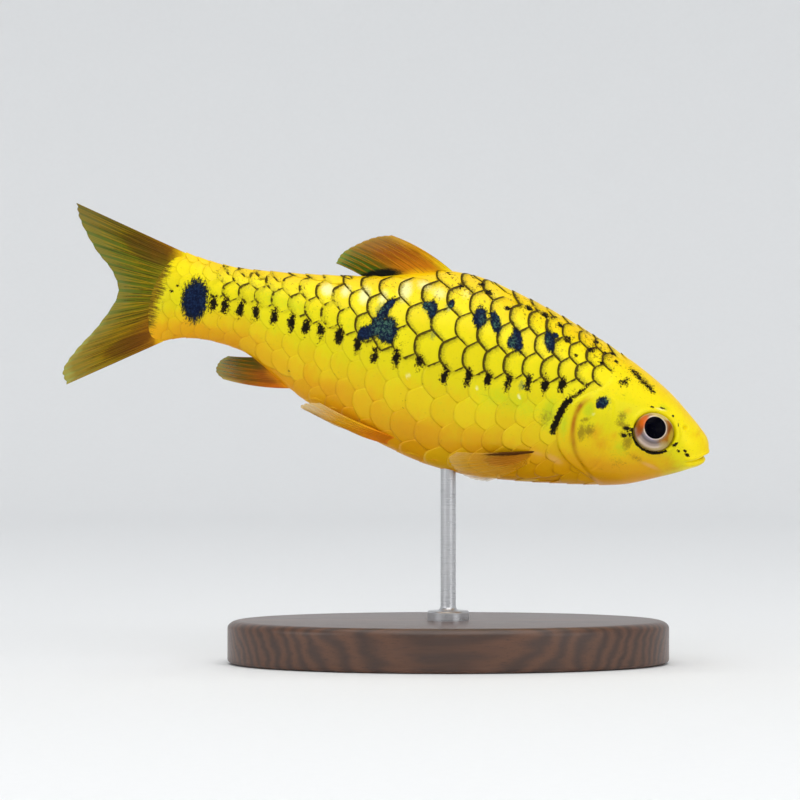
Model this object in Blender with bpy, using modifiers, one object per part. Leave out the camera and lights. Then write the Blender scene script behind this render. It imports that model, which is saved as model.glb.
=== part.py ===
"""Gold barb swimming nose-down on a plain display stand, at life size.

Run with: blender --background --python part.py

The fish is measured in its own frame, in millimetres: station is the distance behind the tip of the snout,
height is the distance above the long axis of the body, and left of the fish is +Y. The fish heads to +X, and
an empty pitches it nose-down over the stand. The origin is at the middle of the whole model, on its underside.
"""

import math

import bmesh
import bpy
import numpy as np
from mathutils import Matrix, Vector

MM = 0.001
GAP = 0.3  # clearance between parts that touch

# Pose of the fish over the stand
PITCH = math.radians(16.0)
SNOUT_X = 33.72
BELLY_CLEARANCE = 14.0  # from the top of the base to the lowest point of the belly

# Outline of the body from the side: station and height
BACK = (
    (0.0, -0.25), (0.12, 0.5), (0.45, 1.12), (1.5, 2.05), (3.0, 3.1), (5.6, 4.72), (9.3, 6.4), (14.0, 8.05),
    (19.0, 9.42), (24.0, 10.38), (28.0, 10.82), (31.0, 10.6), (34.1, 9.62), (38.0, 8.12), (42.0, 6.98),
    (48.0, 5.62), (53.5, 4.76), (57.0, 4.78), (60.0, 5.05),
)
BELLY = (
    (0.0, -0.25), (0.12, -1.05), (0.45, -1.72), (1.4, -2.46), (3.2, -3.6), (6.0, -5.08), (10.0, -6.72),
    (14.0, -7.75), (20.0, -9.02), (24.5, -9.62), (28.5, -9.6), (33.0, -8.9), (37.7, -7.75), (41.5, -6.85),
    (43.5, -6.2), (45.5, -5.35), (47.1, -4.6), (49.0, -3.75), (51.5, -3.45), (54.0, -3.6), (56.0, -4.1),
    (57.6, -4.85), (60.0, -6.2),
)
HALF_WIDTH = (
    (0.0, 0.0), (0.12, 0.72), (0.45, 1.15), (1.5, 1.8), (3.2, 2.45), (6.0, 3.15), (9.0, 3.8), (12.5, 4.35),
    (17.0, 4.75), (22.0, 4.85), (28.0, 4.6), (34.0, 3.85), (40.0, 2.9), (46.0, 2.15), (52.0, 1.55),
    (56.0, 1.05), (60.0, 0.5),
)
WIDEST_SHARE = 0.46  # height of the widest level, as a share of the depth above the belly
BACK_SHARPNESS = 1.16  # 1 is an ellipse, and more is a narrower ridge
BELLY_SHARPNESS = 1.04

# Where the body is parted
TRUNK_START = 7.5  # the trunk is lofted from here, and the gill opening cuts it
TRUNK_END = 48.7
TAIL_END = 58.7
TAIL_BOW = 0.75  # how far the middle of the tail base stands behind its edges
SNOUT_START = 0.035
SNOUT_CROWDING = 1.75  # 1 spaces the rings evenly, and more draws them together at the snout
RING_POINTS = 30
HEAD_RINGS = 19
TRUNK_RINGS = 20
TAIL_RINGS = 7

# Cutters that are drawn from the side
THROUGH = 8.0  # half thickness of one that goes right through the fish
CLEAR = 2.0  # how far one stands clear of the fish
ONE_SIDE = (4.0, 4.2)  # half thickness and middle of one that meets only one side

# Gill opening, from the nape round the rear of the gill cover to the throat
GILL_LINE = (
    (10.4, 9.5), (11.0, 7.4), (11.9, 5.2), (12.9, 3.1), (14.3, 1.95), (15.3, 0.75), (15.85, -1.0),
    (15.95, -2.6), (15.45, -4.0), (14.2, -5.15), (12.2, -6.0), (9.8, -6.85), (8.6, -8.2),
)
# Front of the gill cover: the groove between it and the cheek
COVER_FRONT = (
    (12.35, 3.0), (11.4, 1.9), (10.95, 0.4), (10.8, -1.4), (10.75, -3.2), (11.1, -4.8), (12.2, -5.7),
)
COVER_FRONT_POINTS = 16
GILL_POINTS = 34
HEAD_END = 17.8  # the head and the gill covers are lofted to here, and the gill opening cuts them
COVER_REACH = 17.3
COVER_DROP = 0.5
COVER_SHARE = 0.8  # half width of the core under the gill cover, as a share of the head's
GILL_SWELL = 0.34
GILL_SWELL_STATION = 13.2
GILL_SWELL_REACH = 4.6

# Head
EYE_STATION = 6.2
EYE_HEIGHT = 0.3
EYE_RADIUS = 2.13
EYE_DEPTH = 1.0
EYE_SINK = 0.24
EYE_SIDES = (20, 12)
SOCKET_SIDES = (24, 12)
EYE_RIM_RADIUS = 0.3
EYE_RIM_SINK = 0.1
EYE_RIM_POINTS = 20
NOSTRIL_PLACE = (3.15, 1.55)
NOSTRIL_RADIUS = 0.33
NOSTRIL_SIDES = (10, 6)
MOUTH_LINE = ((-0.8, 0.1), (0.3, -0.9), (1.0, -1.45), (1.7, -1.82), (2.4, -2.02))
MOUTH_POINTS = 10
MOUTH_GAP = 0.26
LIP_RADIUS = 0.3
LIP_OFFSET = 0.34
LIP_SINK = 0.1
LIP_STATIONS = (2.3, 1.75, 1.2, 0.75, 0.42, 0.2)

# Fins
FIN_THICKNESS = 0.85
RAY_SHARE = (1.0, 0.5)  # thickness along a ray, root and tip, as a share of FIN_THICKNESS
WEB_SHARE = (0.66, 0.4)  # the same for the membrane between two rays
WEB_SHORT = 0.965  # the membrane ends this far along its neighbouring rays
FIN_ROWS = 7
ROOT_LIFT = GAP + 0.08  # how far the roots of the dorsal and anal fins stand off the body

DORSAL_ROOT = (30.1, 39.0)
DORSAL_TIPS = ((38.0, 12.4), (39.6, 11.72), (41.2, 10.5), (42.4, 9.2), (42.75, 7.98))
DORSAL_RAYS = 11
DORSAL_BOW = (0.45, 0.1)

ANAL_ROOT = (43.3, 47.9)
ANAL_TIPS = ((50.8, -6.85), (51.6, -6.4), (51.75, -5.7), (51.5, -5.0), (50.9, -4.4))
ANAL_RAYS = 8
ANAL_BOW = (-0.3, -0.05)

TAIL_ROOT_TOP = 4.8
TAIL_ROOT_MIDDLE = -0.5
TAIL_ROOT_BOTTOM = -5.35
UPPER_TIPS = ((70.5, 6.6), (69.6, 4.95), (67.3, 2.5), (64.9, 0.7), (63.8, -1.2))
LOWER_TIPS = ((66.3, -11.95), (67.1, -10.6), (66.3, -8.1), (64.8, -5.1), (63.8, -1.8))
TAIL_RAYS = 10

PELVIC_ROOT = ((32.5, -7.35), (33.1, -8.25))
PELVIC_TIPS = ((40.2, -5.95), (41.5, -6.25), (42.0, -6.55), (41.3, -6.75), (39.6, -7.05))
PELVIC_LIFT = (0.62, 0.95)
PELVIC_RAYS = 8

PECTORAL_ROOT = ((16.9, -5.0), (17.4, -6.35))
PECTORAL_TIPS = ((25.4, -6.9), (25.9, -7.6), (25.0, -8.35), (23.3, -8.7), (21.6, -8.5))
PECTORAL_LIFT = (0.62, 1.25)
PECTORAL_RAYS = 10

# Stand
ROD_STATION = 25.5
ROD_RADIUS = 0.8
ROD_FOOT_RADIUS = 2.2
ROD_FOOT_HEIGHT = 0.7
ROD_FILLET = 0.5
ROD_SIDES = 20
BASE_LENGTH = 46.0
BASE_WIDTH = 28.0
BASE_HEIGHT = 4.5
BASE_EDGE = 0.8
BASE_SIDES = 64
FILLET_STEPS = 4


def smooth_curve(points, root_scaled=False):
    """A function that runs smoothly through the points. With root_scaled its start is blunt, as a snout is."""
    keys = np.array([p[0] for p in points], float)
    values = np.array([p[1] for p in points], float)
    if root_scaled:
        keys = np.sqrt(keys)
    slopes = np.gradient(values, keys)

    def value(at):
        at = math.sqrt(max(at, 0.0)) if root_scaled else at
        at = min(max(at, keys[0]), keys[-1])
        k = min(int(np.searchsorted(keys, at, side="right")) - 1, len(keys) - 2)
        width = keys[k + 1] - keys[k]
        t = (at - keys[k]) / width
        return float(
            (2 * t**3 - 3 * t**2 + 1) * values[k]
            + (t**3 - 2 * t**2 + t) * width * slopes[k]
            + (3 * t**2 - 2 * t**3) * values[k + 1]
            + (t**3 - t**2) * width * slopes[k + 1]
        )

    return value


back = smooth_curve(BACK, root_scaled=True)
belly = smooth_curve(BELLY, root_scaled=True)
half_width = smooth_curve(HALF_WIDTH, root_scaled=True)


def widest_height(station):
    return belly(station) + WIDEST_SHARE * (back(station) - belly(station))


def in_fish(station, side, height):
    """A point of the fish's frame, in metres."""
    return Vector((-station, side, height)) * MM


def skin(station, angle, width=1.0, swell=0.0):
    """(side, height) on the body's section. The angle runs from the back, 0, by the left to the belly."""
    middle = widest_height(station)
    rise = math.cos(angle)
    reach = back(station) - middle if rise > 0 else middle - belly(station)
    power = BACK_SHARPNESS if rise > 0 else BELLY_SHARPNESS
    across = math.sin(angle)
    side = math.copysign(abs(across) ** power, across) * (half_width(station) + swell) * width
    return side, middle + rise * reach


def angle_at(station, height):
    """The angle at which the left side of a section passes a height."""
    middle = widest_height(station)
    reach = back(station) - middle if height > middle else middle - belly(station)
    return math.acos(max(-1.0, min(1.0, (height - middle) / reach)))


def skin_point(station, height, lift=0.0):
    """A point on the left flank, lifted off it along its normal, in millimetres: station, side, height."""
    angle = angle_at(station, height)
    step = 0.05

    def spot(s, a):
        side, level = skin(s, a)
        return Vector((-s, side, level))

    along = spot(station - step, angle) - spot(station + step, angle)
    around = spot(station, angle + step) - spot(station, angle - step)
    normal = around.cross(along).normalized()
    if normal.y < 0:
        normal.negate()
    return spot(station, angle) + normal * lift, normal


def gill_swell(station):
    """Extra half width of the head over the gills."""
    off = (station - GILL_SWELL_STATION) / GILL_SWELL_REACH
    return GILL_SWELL * math.exp(-off * off)


def tail_bow(station, height):
    """How far a point of the tail stands back, so that its end is rounded as seen from the side."""
    middle = (back(TAIL_END) + belly(TAIL_END)) / 2
    reach = (back(TAIL_END) - belly(TAIL_END)) / 2
    share = max(0.0, (station - TRUNK_END) / (TAIL_END - TRUNK_END))
    return TAIL_BOW * share**2 * (1 - ((height - middle) / reach) ** 2)


def new_material(name, colour, roughness, metallic=0.0):
    material = bpy.data.materials.new(name)
    material.use_nodes = True
    shader = material.node_tree.nodes["Principled BSDF"]
    shader.inputs["Base Color"].default_value = (*colour, 1.0)
    shader.inputs["Roughness"].default_value = roughness
    shader.inputs["Metallic"].default_value = metallic
    return material


def new_collection(name):
    collection = bpy.data.collections.new(name)
    bpy.context.scene.collection.children.link(collection)
    return collection


def add_object(name, mesh, collection, parent=None, material=None):
    made = bpy.data.objects.new(name, mesh)
    collection.objects.link(made)
    made.parent = parent
    if material:
        mesh.materials.append(material)
    return made


def add_cutter(name, mesh, collection, parent):
    cutter = add_object(name, mesh, collection, parent)
    cutter.hide_render = True
    cutter.display_type = "WIRE"
    return cutter


def loft_mesh(name, rings):
    """A closed mesh through rings of equally many points, with a flat cap at each end."""
    shape = bmesh.new()
    rows = [[shape.verts.new(point) for point in ring] for ring in rings]
    count = len(rows[0])
    for first, second in zip(rows, rows[1:]):
        for k in range(count):
            shape.faces.new((first[k], first[(k + 1) % count], second[(k + 1) % count], second[k]))
    shape.faces.new(rows[0])
    shape.faces.new(reversed(rows[-1]))
    bmesh.ops.recalc_face_normals(shape, faces=shape.faces)
    mesh = bpy.data.meshes.new(name)
    shape.to_mesh(mesh)
    shape.free()
    mesh.shade_smooth()
    mesh.set_sharp_from_angle(angle=math.radians(40))
    return mesh


def body_mesh(name, stations, width=1.0, swell=False, bow=False):
    """The body between the first and last of the stations."""
    rings = []
    for station in stations:
        ring = []
        for k in range(RING_POINTS):
            angle = 2 * math.pi * k / RING_POINTS
            side, height = skin(station, angle, width, gill_swell(station) if swell else 0.0)
            behind = tail_bow(station, height) if bow else 0.0
            ring.append(in_fish(station + behind, side, height))
        rings.append(ring)
    return loft_mesh(name, rings)


def even_stations(first, last, count):
    return [first + (last - first) * k / (count - 1) for k in range(count)]


def snout_stations(last, count):
    """Stations from the snout, close together where it curves most."""
    return [SNOUT_START + (last - SNOUT_START) * (k / (count - 1)) ** SNOUT_CROWDING for k in range(count)]


def mesh_from_curve(name, curve):
    """The curve's filled shape as a closed mesh. The curve is removed."""
    holder = bpy.data.objects.new(name, curve)
    bpy.context.scene.collection.objects.link(holder)
    bpy.context.view_layer.update()
    mesh = bpy.data.meshes.new_from_object(holder.evaluated_get(bpy.context.evaluated_depsgraph_get()))
    bpy.data.objects.remove(holder)
    bpy.data.curves.remove(curve)
    shape = bmesh.new()
    shape.from_mesh(mesh)
    bmesh.ops.remove_doubles(shape, verts=shape.verts, dist=1e-6)
    bmesh.ops.recalc_face_normals(shape, faces=shape.faces)
    shape.to_mesh(mesh)
    shape.free()
    return mesh


def prism_mesh(name, outline, half_thickness, middle=0.0):
    """A flat outline of stations and heights, made as thick as asked across the fish."""
    curve = bpy.data.curves.new(name, "CURVE")
    curve.dimensions = "2D"
    curve.fill_mode = "BOTH"
    curve.extrude = half_thickness * MM
    spline = curve.splines.new("POLY")
    spline.points.add(len(outline) - 1)
    for point, (station, height) in zip(spline.points, outline):
        point.co = (-station * MM, height * MM, 0.0, 1.0)
    spline.use_cyclic_u = True
    mesh = mesh_from_curve(name, curve)
    mesh.transform(Matrix.Translation((0.0, middle * MM, 0.0)) @ Matrix.Rotation(math.pi / 2, 4, "X"))
    return mesh


def smooth_line(points, count):
    """Points spaced evenly along a smooth line through the given ones."""
    steps = np.arange(len(points), dtype=float)
    lines = [smooth_curve(tuple(zip(steps, [p[k] for p in points]))) for k in range(2)]
    return [tuple(line(at) for line in lines) for at in np.linspace(0, steps[-1], count)]


def offset_line(line, distance):
    """The line moved sideways, to its left as it runs."""
    moved = []
    for k, (x, y) in enumerate(line):
        before, after = line[max(k - 1, 0)], line[min(k + 1, len(line) - 1)]
        dx, dy = after[0] - before[0], after[1] - before[1]
        size = math.hypot(dx, dy)
        moved.append((x - dy / size * distance, y + dx / size * distance))
    return moved


def ellipsoid_mesh(name, radii, matrix, sides):
    """An ellipsoid with its radii in millimetres, and its sides counted round it and from pole to pole."""
    shape = bmesh.new()
    bmesh.ops.create_uvsphere(shape, u_segments=sides[0], v_segments=sides[1], radius=MM)
    shape.transform(matrix @ Matrix.Diagonal((*radii, 1.0)))
    mesh = bpy.data.meshes.new(name)
    shape.to_mesh(mesh)
    shape.free()
    mesh.shade_smooth()
    return mesh


def mirrored(mesh, name):
    """The same mesh on the other side of the fish."""
    other = mesh.copy()
    other.name = name
    other.transform(Matrix.Diagonal((1.0, -1.0, 1.0, 1.0)))
    other.flip_normals()
    return other


def boolean(target, operation, cutter):
    modifier = target.modifiers.new(operation.title() + " " + cutter.name, "BOOLEAN")
    modifier.operation = operation
    modifier.object = cutter
    modifier.solver = "EXACT"


def on_flank(station, height, sink):
    """A frame on the left flank, its Z out of the skin, sunk by some millimetres."""
    spot, normal = skin_point(station, height, -sink)
    spot.y += gill_swell(station)
    turn = normal.to_track_quat("Z", "Y").to_matrix().to_4x4()
    return Matrix.Translation(spot * MM) @ turn


def eyeball_mesh(name, grow, sides):
    """The left eye, or its socket if it is grown."""
    radii = (EYE_RADIUS + grow, EYE_RADIUS + grow, EYE_DEPTH + grow)
    return ellipsoid_mesh(name, radii, on_flank(EYE_STATION, EYE_HEIGHT, EYE_SINK), sides)


def add_eyes(group, parent, material):
    mesh = eyeball_mesh("eye_left", 0.0, EYE_SIDES)
    add_object("eye_left", mesh, group, parent, material)
    add_object("eye_right", mirrored(mesh, "eye_right"), group, parent)


def tube_mesh(name, path, radius, closed=False):
    """A round bar along points of the fish's frame."""
    curve = bpy.data.curves.new(name, "CURVE")
    curve.dimensions = "3D"
    curve.bevel_depth = radius * MM
    curve.bevel_resolution = 1
    curve.use_fill_caps = not closed
    spline = curve.splines.new("POLY")
    spline.points.add(len(path) - 1)
    for point, spot in zip(spline.points, path):
        point.co = (*(Vector(spot) * MM), 1.0)
    spline.use_cyclic_u = closed
    return mesh_from_curve(name, curve)


def lip_path(line_offset):
    """From one corner of the mouth round the snout to the other, a little above or below the mouth line."""
    mouth = smooth_curve(MOUTH_LINE)
    path = []
    for station in LIP_STATIONS:
        height = mouth(station) + line_offset
        side, level = skin(station, angle_at(station, height))
        path.append((-station - LIP_SINK, side - LIP_SINK, level))
    return path + [(x, -y, z) for x, y, z in reversed(path)]


def eye_rim_path():
    """A ring on the skin round the left eye."""
    radius = EYE_RADIUS + GAP + EYE_RIM_RADIUS / 2
    path = []
    for k in range(EYE_RIM_POINTS):
        turn = 2 * math.pi * k / EYE_RIM_POINTS
        spot, _ = skin_point(
            EYE_STATION + radius * math.cos(turn), EYE_HEIGHT + radius * math.sin(turn), -EYE_RIM_SINK
        )
        path.append(spot)
    return path


def add_both_sides(name, mesh, collection, parent):
    """Cutters named for the left side and the right, from the left one's mesh."""
    left = add_cutter(name + "_left", mesh, collection, parent)
    right = add_cutter(name + "_right", mirrored(mesh, name + "_right"), collection, parent)
    return left, right


def add_head(group, cutters, parent, material):
    """The head with lips, mouth, nostrils, eye rims and sockets, cut off at the gill opening."""
    gill = smooth_line(GILL_LINE, GILL_POINTS)
    mesh = body_mesh("head", snout_stations(HEAD_END, HEAD_RINGS), swell=True)
    head = add_object("head", mesh, group, parent, material)
    for name, offset in (("upper_lip", LIP_OFFSET), ("lower_lip", -LIP_OFFSET)):
        lip = tube_mesh(name, lip_path(offset), LIP_RADIUS)
        boolean(head, "UNION", add_cutter(name, lip, cutters, parent))
    rim = tube_mesh("eye_rim_left", eye_rim_path(), EYE_RIM_RADIUS, closed=True)
    for cutter in add_both_sides("eye_rim", rim, cutters, parent):
        boolean(head, "UNION", cutter)
    socket = eyeball_mesh("socket_left", GAP, SOCKET_SIDES)
    nostril_matrix = on_flank(*NOSTRIL_PLACE, 0.0)
    nostril = ellipsoid_mesh("nostril_left", (NOSTRIL_RADIUS,) * 3, nostril_matrix, NOSTRIL_SIDES)
    for name, left_mesh in (("socket", socket), ("nostril", nostril)):
        for cutter in add_both_sides(name, left_mesh, cutters, parent):
            boolean(head, "DIFFERENCE", cutter)
    line = smooth_line(MOUTH_LINE, MOUTH_POINTS)
    outline = offset_line(line, MOUTH_GAP / 2) + offset_line(line, -MOUTH_GAP / 2)[-2::-1]
    mouth = add_cutter("mouth_cut", prism_mesh("mouth_cut", outline, THROUGH), cutters, parent)
    boolean(head, "DIFFERENCE", mouth)
    behind_mesh = prism_mesh("behind_gills", closed_at(gill, TAIL_END), THROUGH)
    behind = add_cutter("behind_gills", behind_mesh, cutters, parent)
    boolean(head, "DIFFERENCE", behind)
    return head, behind


def closed_at(line, station):
    """The outline of all between a line from the back to the belly and a station clear of the fish."""
    top = max(back(s) for s, _ in BACK) + CLEAR
    bottom = min(belly(s) for s, _ in BELLY) - CLEAR
    return [(line[0][0], top), *line, (line[-1][0], bottom), (station, bottom), (station, top)]


def cover_outline(grow):
    """Side outline of the gill cover, reaching past the gill opening behind it."""
    front = offset_line(smooth_line(COVER_FRONT, COVER_FRONT_POINTS), -grow)
    top_height = front[0][1]
    low_station, low_height = front[-1]
    below = low_height - COVER_DROP
    return front + [(low_station + COVER_DROP, below), (COVER_REACH, below), (COVER_REACH, top_height)]


def add_gill_covers(group, cutters, parent, material, head, behind):
    """A plate on each side, laid in a recess of the head."""
    core_stations = snout_stations(HEAD_END + CLEAR, HEAD_RINGS)
    core = add_cutter("gill_core", body_mesh("gill_core", core_stations, COVER_SHARE, True), cutters, parent)
    recess_share = COVER_SHARE - GAP / half_width(GILL_SWELL_STATION)
    recess_core_mesh = body_mesh("recess_core", core_stations, recess_share, True)
    recess_core = add_cutter("recess_core", recess_core_mesh, cutters, parent)
    recess_mesh = prism_mesh("cover_recess", cover_outline(GAP), THROUGH)
    recess = add_cutter("cover_recess", recess_mesh, cutters, parent)
    boolean(recess, "DIFFERENCE", recess_core)
    boolean(head, "DIFFERENCE", recess)
    for name, side in (("gill_cover_left", 1), ("gill_cover_right", -1)):
        mesh = body_mesh(name, snout_stations(HEAD_END, HEAD_RINGS), swell=True)
        cover = add_object(name, mesh, group, parent, material)
        outline_name = "outline_of_" + name
        outline = prism_mesh(outline_name, cover_outline(0.0), ONE_SIDE[0], side * ONE_SIDE[1])
        boolean(cover, "INTERSECT", add_cutter(outline_name, outline, cutters, parent))
        boolean(cover, "DIFFERENCE", core)
        boolean(cover, "DIFFERENCE", behind)


def add_trunk(group, cutters, parent, material):
    stations = even_stations(TRUNK_START, TRUNK_END - GAP / 2, TRUNK_RINGS)
    trunk = add_object("trunk", body_mesh("trunk", stations), group, parent, material)
    ahead = closed_at(offset_line(smooth_line(GILL_LINE, GILL_POINTS), GAP), -CLEAR)
    cutter = add_cutter("ahead_of_gills", prism_mesh("ahead_of_gills", ahead, THROUGH), cutters, parent)
    boolean(trunk, "DIFFERENCE", cutter)


def add_tail_stalk(group, parent, material):
    stations = even_stations(TRUNK_END + GAP / 2, TAIL_END, TAIL_RINGS)
    add_object("tail_stalk", body_mesh("tail_stalk", stations, bow=True), group, parent, material)


def edge_curves(tips):
    """Station and height of a fin's free edge, as functions of the share of the way over its rays."""
    steps = np.linspace(0, 1, len(tips))
    return [smooth_curve(tuple(zip(steps, [p[k] for p in tips]))) for k in range(2)]


def fin_mesh(name, place, rays):
    """A fan of rays as an open sheet, and the thickness of its points.

    place gives a point in millimetres at a share of the way over the rays and at a share of a ray's length.
    """
    columns = 2 * rays - 1
    shape = bmesh.new()
    bmesh.ops.create_grid(shape, x_segments=columns - 1, y_segments=FIN_ROWS, size=1.0)
    weights = []
    for vert in shape.verts:
        across = (vert.co.x + 1) / 2
        along = (vert.co.y + 1) / 2
        on_ray = round(across * (columns - 1)) % 2 == 0
        vert.co = place(across, along * (1.0 if on_ray else WEB_SHORT)) * MM
        first, last = RAY_SHARE if on_ray else WEB_SHARE
        weights.append(first + (last - first) * along)
    bmesh.ops.triangulate(shape, faces=shape.faces, quad_method="FIXED")
    mesh = bpy.data.meshes.new(name)
    shape.to_mesh(mesh)
    shape.free()
    return mesh, weights


def add_fin(name, mesh, weights, group, parent, material=None):
    fin = add_object(name, mesh, group, parent, material)
    thickness = fin.vertex_groups.new(name="thickness")
    for index, weight in enumerate(weights):
        thickness.add([index], weight, "REPLACE")
    solidify = fin.modifiers.new("Thickness", "SOLIDIFY")
    solidify.thickness = FIN_THICKNESS * MM
    solidify.offset = 0.0
    solidify.vertex_group = thickness.name
    solidify.use_rim = True


def flat_fin(name, root, tips, bow, rays, group, parent, material):
    """A fin in the middle plane. root gives station and height, and tips are points of its free edge."""
    station, height = edge_curves(tips)

    def place(across, along):
        root_station, root_height = root(across)
        rise = bow[0] + (bow[1] - bow[0]) * across
        start = Vector((-root_station, 0.0, root_height))
        end = Vector((-station(across), 0.0, height(across)))
        return start.lerp(end, along) + Vector((0.0, 0.0, rise * 4 * along * (1 - along)))

    mesh, weights = fin_mesh(name, place, rays)
    add_fin(name, mesh, weights, group, parent, material)


def add_middle_fins(group, parent, materials):
    def dorsal_root(across):
        s = DORSAL_ROOT[0] + (DORSAL_ROOT[1] - DORSAL_ROOT[0]) * across
        return s, back(s) + ROOT_LIFT

    def anal_root(across):
        s = ANAL_ROOT[0] + (ANAL_ROOT[1] - ANAL_ROOT[0]) * across
        return s, belly(s) - ROOT_LIFT

    def tail_root(height):
        return TAIL_END + tail_bow(TAIL_END, height) + GAP, height

    def upper_root(across):
        return tail_root(TAIL_ROOT_TOP + (TAIL_ROOT_MIDDLE + GAP / 2 - TAIL_ROOT_TOP) * across)

    def lower_root(across):
        return tail_root(TAIL_ROOT_BOTTOM + (TAIL_ROOT_MIDDLE - GAP / 2 - TAIL_ROOT_BOTTOM) * across)

    straight = (0.0, 0.0)
    for name, root, tips, bow, rays in (
        ("dorsal_fin", dorsal_root, DORSAL_TIPS, DORSAL_BOW, DORSAL_RAYS),
        ("anal_fin", anal_root, ANAL_TIPS, ANAL_BOW, ANAL_RAYS),
        ("tail_fin_upper", upper_root, UPPER_TIPS, straight, TAIL_RAYS),
        ("tail_fin_lower", lower_root, LOWER_TIPS, straight, TAIL_RAYS),
    ):
        flat_fin(name, root, tips, bow, rays, group, parent, materials[name.split("_")[0]])


def paired_fins(kind, root, tips, lift, rays, group, parent, material):
    """A left and a right fin, laid along the flank and standing off it more towards the tips."""
    station, height = edge_curves(tips)

    def place(across, along):
        first, last = root
        start = [a + (b - a) * across for a, b in zip(first, last)]
        s = start[0] + (station(across) - start[0]) * along
        h = start[1] + (height(across) - start[1]) * along
        spot, _ = skin_point(s, h, lift[0] + (lift[1] - lift[0]) * along)
        return spot

    mesh, weights = fin_mesh(kind + "_left", place, rays)
    add_fin(kind + "_left", mesh, weights, group, parent, material)
    add_fin(kind + "_right", mirrored(mesh, kind + "_right"), weights, group, parent)


def lowest_belly(first, last, count):
    """The lowest point of the pitched belly between two stations, in millimetres above the snout."""
    return min(belly(s) * math.cos(PITCH) + s * math.sin(PITCH) for s in even_stations(first, last, count))


def snout_height():
    return BASE_HEIGHT + BELLY_CLEARANCE - lowest_belly(1.0, TRUNK_END, 200)


def add_base(group, x, material):
    """An oval base with a rounded edge."""
    shape = bmesh.new()
    bmesh.ops.create_cone(
        shape, cap_ends=True, segments=BASE_SIDES, radius1=0.5 * MM, radius2=0.5 * MM, depth=BASE_HEIGHT * MM
    )
    shape.transform(Matrix.Diagonal((BASE_LENGTH, BASE_WIDTH, 1.0, 1.0)))
    mesh = bpy.data.meshes.new("stand_base")
    shape.to_mesh(mesh)
    shape.free()
    base = add_object("stand_base", mesh, group, None, material)
    base.location = (x * MM, 0.0, BASE_HEIGHT / 2 * MM)
    edge = base.modifiers.new("Rounded edge", "BEVEL")
    edge.width = BASE_EDGE * MM
    edge.segments = 2
    edge.limit_method = "ANGLE"


def add_rod(group, x, material):
    """A turned rod with a wide foot, that ends just under the belly."""
    under = lowest_belly(ROD_STATION - ROD_RADIUS, ROD_STATION + ROD_RADIUS, 9)
    top = snout_height() + under - GAP
    foot = BASE_HEIGHT + GAP
    profile = [(0.0, top), (ROD_RADIUS, top)]
    for k in range(FILLET_STEPS + 1):
        turn = math.pi / 2 * k / FILLET_STEPS
        radius = ROD_RADIUS + ROD_FILLET * (1 - math.cos(turn))
        profile.append((radius, foot + ROD_FOOT_HEIGHT + ROD_FILLET * (1 - math.sin(turn))))
    profile += [(ROD_FOOT_RADIUS, foot + ROD_FOOT_HEIGHT), (ROD_FOOT_RADIUS, foot), (0.0, foot)]
    shape = bmesh.new()
    verts = [shape.verts.new((radius * MM, 0.0, height * MM)) for radius, height in profile]
    for first, second in zip(verts, verts[1:]):
        shape.edges.new((first, second))
    mesh = bpy.data.meshes.new("stand_rod")
    shape.to_mesh(mesh)
    shape.free()
    rod = add_object("stand_rod", mesh, group, None, material)
    rod.location = (x * MM, 0.0, 0.0)
    turned = rod.modifiers.new("Turned", "SCREW")
    turned.steps = ROD_SIDES
    turned.render_steps = ROD_SIDES
    turned.use_merge_vertices = True
    turned.merge_threshold = 0.00001
    turned.use_smooth_shade = True


def main():
    for old in list(bpy.data.objects):
        bpy.data.objects.remove(old)

    fish = new_collection("gold_barb")
    stand = new_collection("display_stand")
    cutters = new_collection("cutters")

    pose = bpy.data.objects.new("fish_pose", None)
    fish.objects.link(pose)
    pose.location = (SNOUT_X * MM, 0.0, snout_height() * MM)
    pose.rotation_euler = (0.0, PITCH, 0.0)

    golden = new_material("golden_skin", (0.86, 0.62, 0.02), 0.35)
    cheek = new_material("gill_cover_skin", (0.85, 0.5, 0.02), 0.3)
    eye = new_material("eye_black", (0.02, 0.02, 0.03), 0.1)
    fins = {
        "dorsal": new_material("dorsal_fin_skin", (0.5, 0.2, 0.02), 0.45),
        "anal": new_material("anal_fin_skin", (0.45, 0.14, 0.02), 0.45),
        "tail": new_material("tail_fin_skin", (0.35, 0.2, 0.03), 0.45),
        "paired": new_material("paired_fin_skin", (0.8, 0.4, 0.05), 0.4),
    }
    steel = new_material("brushed_steel", (0.6, 0.6, 0.6), 0.3, 1.0)
    wood = new_material("dark_wood", (0.09, 0.045, 0.025), 0.4)

    head, behind = add_head(fish, cutters, pose, golden)
    add_gill_covers(fish, cutters, pose, cheek, head, behind)
    add_eyes(fish, pose, eye)
    add_trunk(fish, cutters, pose, golden)
    add_tail_stalk(fish, pose, golden)
    add_middle_fins(fish, pose, fins)
    for kind, root, tips, lift, rays in (
        ("pelvic_fin", PELVIC_ROOT, PELVIC_TIPS, PELVIC_LIFT, PELVIC_RAYS),
        ("pectoral_fin", PECTORAL_ROOT, PECTORAL_TIPS, PECTORAL_LIFT, PECTORAL_RAYS),
    ):
        paired_fins(kind, root, tips, lift, rays, fish, pose, fins["paired"])
    stand_x = SNOUT_X - ROD_STATION * math.cos(PITCH) + belly(ROD_STATION) * math.sin(PITCH)
    add_base(stand, stand_x, wood)
    add_rod(stand, stand_x, steel)


main()
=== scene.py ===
"""Looks of a life-size gold barb on a display stand: skin, scales, fins, eyes, stand and studio.

The fish is drawn in its own frame, in millimetres: station is the distance behind the tip of the snout,
height is the distance above the long axis of the body, and the fish's left is +Y. Each piece is pitched
nose-down over the stand, as the solids of the frame are.
"""

import math
from functools import partial

import bpy
import numpy as np
from mathutils import Matrix, Vector


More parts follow.
